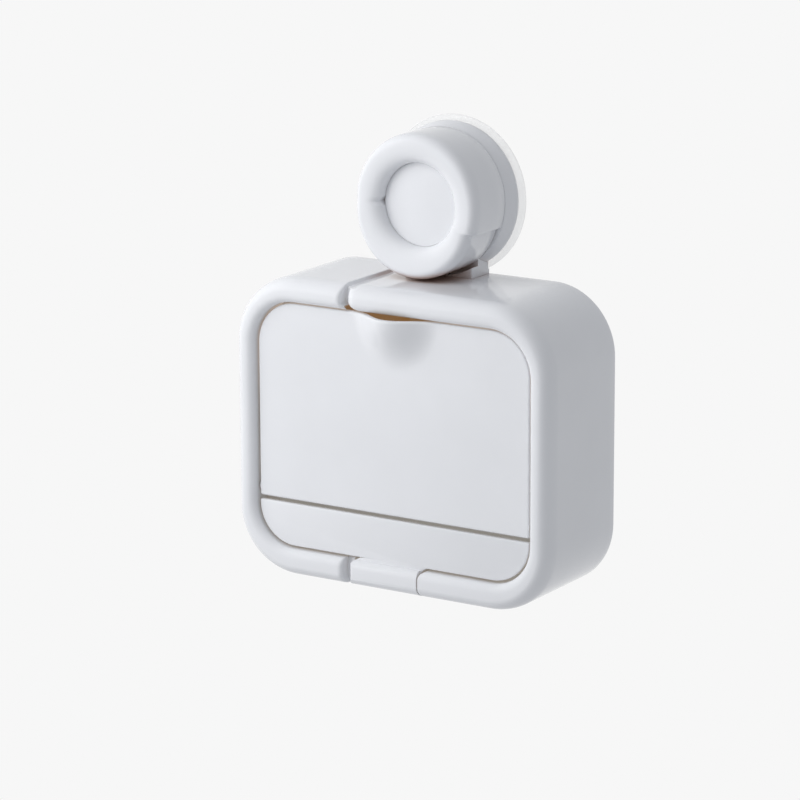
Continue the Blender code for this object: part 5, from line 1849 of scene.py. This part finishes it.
    def build_nut(self, floor: float, base: float) -> None:
        """Make the nut: a six-sided bar inside a double cone, with its bore.

        Args:
            floor: Height of the recess's floor over the wall.
            base: Height of its underside over the wall.
        """
        across, height = self.nut
        top = base + height
        narrow = across / 2 - self.nut_flat
        broad = across / 2 + self.nut_overhang
        nut = Form.bar("hex_nut", across / 2 * FLATS_TO_CORNER, -base - height, -base, (0, 0), steps=6)
        cone = [(0, top), (narrow, top), (broad, top - self.nut_chamfer), (broad, base + self.nut_chamfer),
                (narrow, base), (0, base)]
        nut.keep(Form.turned("nut_chamfer", cone, steps=72))
        nut.cut(Form.bar("nut_bore", self.plan.bore, -floor, -base + OVERRUN, (0, 0)))
        nut.finish(Slot.BRASS, Body.KNOB, "knob_nut")

    def build(self) -> None:
        """Make the knob, its cap and its nut."""
        floor = self.cap_level - self.cap_thickness - GAP
        nut_base = floor - self.nut[1] - 2 * GAP
        self.build_drum(floor, nut_base)
        self.build_cap()
        self.build_nut(floor, nut_base)


@dataclass
class PullStud:
    """Threaded stud whose head sits in the pad, and the thrust washer round it."""

    plan: Plan = PLAN
    length: float = 0.0156
    washer_radius: float = 0.009
    washer_base: float = 0.0143
    washer_thickness: float = 0.0008
    thread_pitch: float = 0.0009
    thread_depth: float = 0.00035
    thread_margin: float = 0.004
    thread_end: float = 0.0003
    tip_chamfer: float = 0.0006
    edge: float = 0.0002

    def build(self) -> None:
        """Make the stud and the washer."""
        radius, base, bore = self.plan.stud_radius, self.plan.stud_base, self.plan.bore
        head_radius, head_height = self.plan.stud_head
        tip = base + self.length
        shoulder = base + head_height
        count = int((self.length - head_height - self.thread_margin) / self.thread_pitch)
        turns = tip - self.tip_chamfer - np.arange(2 * count + 1) * self.thread_pitch / 2
        thread = np.stack([radius - self.thread_depth * (np.arange(2 * count + 1) % 2), turns], axis=1)
        edge = self.edge
        profile = np.concatenate([[(0, tip), (radius - self.tip_chamfer, tip)], thread,
                                  [(radius, turns[-1] - self.thread_end), (radius, shoulder),
                                   (head_radius - edge, shoulder), (head_radius, shoulder - edge),
                                   (head_radius, base + edge), (head_radius - edge, base), (0, base)]])
        Form.turned("threaded_stud", profile, steps=56).finish(Slot.STEEL, Body.STUD, "pull_stud")
        top = self.washer_base + self.washer_thickness
        washer = np.array([(bore, top), (self.washer_radius, top), (self.washer_radius, self.washer_base),
                           (bore, self.washer_base)])
        Form.turned("flat_washer", eased(washer, edge, 3), steps=96, closed=True).finish(
            Slot.STEEL, Body.BOX, "thrust_washer")


@dataclass(frozen=True)
class Lamp:
    """Square area lamp that points at the middle of the object."""

    name: str
    place: Triple
    size: float
    power: float
    colour: Colour = (1.0, 0.995, 0.99)

    def light(self) -> None:
        """Put up the lamp."""
        lamp = bpy.data.lights.new(self.name, "AREA")
        lamp.size = self.size
        lamp.energy = self.power
        lamp.color = self.colour
        stand = bpy.data.objects.new(self.name, lamp)
        stand.location = self.place
        aim = Vector((0, 0, PLAN.middle)) - stand.location
        stand.rotation_euler = aim.to_track_quat("-Z", "Y").to_euler()
        stand.visible_glossy = False
        bpy.context.scene.collection.objects.link(stand)


@dataclass
class Studio:
    """Pale floor and sky, soft lamps, and a camera at the photograph's angle."""

    azimuth: float = 32.44935
    elevation: float = 13.787495
    roll: float = -0.213587
    lens: float = 168.0456
    distance: float = 1.2900964
    shift: Place = (-0.0196590, 0.0060388)
    sensor: float = 36.0
    far_clip: float = 100.0
    paper: Colour = (0.93, 0.93, 0.93)
    sky_colour: Colour = (0.94, 0.96, 1.0)
    sky: float = 0.52
    floor_level: float = -0.55
    floor_size: float = 30.0
    floor_roughness: float = 0.9
    glow_span: Place = (0.45, 0.85)
    lamps: list[Lamp] = field(default_factory=lambda: [
        Lamp("key", (-0.40, -0.40, 0.12), 0.5, 2.25),
        Lamp("near", (-0.10, -0.20, 0.14), 0.15, 0.114)])

    def camera(self) -> None:
        """Stand the camera at the photograph's place."""
        turn, lift, roll = (math.radians(value) for value in (self.azimuth, self.elevation, self.roll))
        back = Vector((math.sin(turn) * math.cos(lift), -math.cos(turn) * math.cos(lift), math.sin(lift)))
        right = Vector((math.cos(turn), math.sin(turn), 0))
        up = back.cross(right)
        place = back * self.distance + right * self.shift[0] + up * self.shift[1]
        level = right * math.cos(roll) + up * math.sin(roll)
        upright = up * math.cos(roll) - right * math.sin(roll)
        view = bpy.data.objects.new("photo_camera", bpy.data.cameras.new("photo_camera"))
        view.data.lens = self.lens
        view.data.sensor_width = self.sensor
        view.data.clip_end = self.far_clip
        stand = Matrix((level, upright, back)).transposed().to_4x4()
        stand.translation = place + Vector((0, 0, PLAN.middle))
        view.matrix_world = stand
        bpy.context.scene.collection.objects.link(view)
        bpy.context.scene.camera = view

    def world(self) -> None:
        """Light the scene evenly and show paper white behind it."""
        world = bpy.data.worlds.new("studio")
        world.use_nodes = True
        wiring = Wiring(world.node_tree)
        lit = wiring.tree.nodes["Background"]
        lit.inputs["Color"].default_value = (*self.sky_colour, 1)
        lit.inputs["Strength"].default_value = self.sky
        shown = wiring.node("Background", {"Color": (*self.paper, 1)})
        wiring.blended(wiring.background_ray(), lit.outputs[0], shown.outputs[0],
                       wiring.tree.nodes["World Output"].inputs["Surface"])
        bpy.context.scene.world = world

    def floor(self) -> None:
        """Lay the floor: matt near the object, passing into paper white with the distance from it."""
        half = self.floor_size / 2
        mesh = bpy.data.meshes.new("floor")
        corner_places = [(-half, -half), (half, -half), (half, half), (-half, half)]
        mesh.from_pydata([(*place, self.floor_level) for place in corner_places], [], [(0, 1, 2, 3)])
        graph = Graph("floor_paper", Base_Color=(*self.paper, 1), Roughness=self.floor_roughness,
                      Specular_IOR_Level=0)
        glow = graph.node("Emission", {"Color": (*self.paper, 1)})
        distance = graph.node("VectorMath", operation="LENGTH")
        graph.link(graph.place, distance.inputs[0])
        outward = graph.spread(distance.outputs["Value"], 0, 1, self.glow_span)
        graph.blended(graph.product(outward, graph.background_ray()), graph.shader.outputs[0],
                      glow.outputs[0], graph.tree.nodes["Material Output"].inputs["Surface"])
        mesh.materials.append(graph.material)
        sheet = bpy.data.objects.new("floor", mesh)
        bpy.context.scene.collection.objects.link(sheet)

    def build(self) -> None:
        """Set up the whole studio."""
        self.camera()
        self.world()
        self.floor()
        for lamp in self.lamps:
            lamp.light()
        bpy.context.scene.view_settings.view_transform = "Standard"


def corners(box: Sequence[Vector]) -> list[list[float]]:
    """A box's lowest and highest corner as plain lists."""
    return [list(map(float, corner)) for corner in box]


WORKSHOP = bpy.data.collections.new("workshop")
FINISHES = Finishes()


def main() -> None:
    """Build the sub-assemblies round the model, and the studio."""
    logging.basicConfig(level=logging.INFO, format="%(name)s: %(message)s")
    bpy.context.scene.collection.children.link(WORKSHOP)
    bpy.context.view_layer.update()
    for part in (Shell(), FlapDoor(), DripDrawer(), SoapRack(), BackCover(), MountBracket(), SuctionPad(),
                 TurnKnob(), PullStud(), Studio()):
        part.build()
    bpy.data.collections.remove(WORKSHOP)


if __name__ == "__main__":
    main()
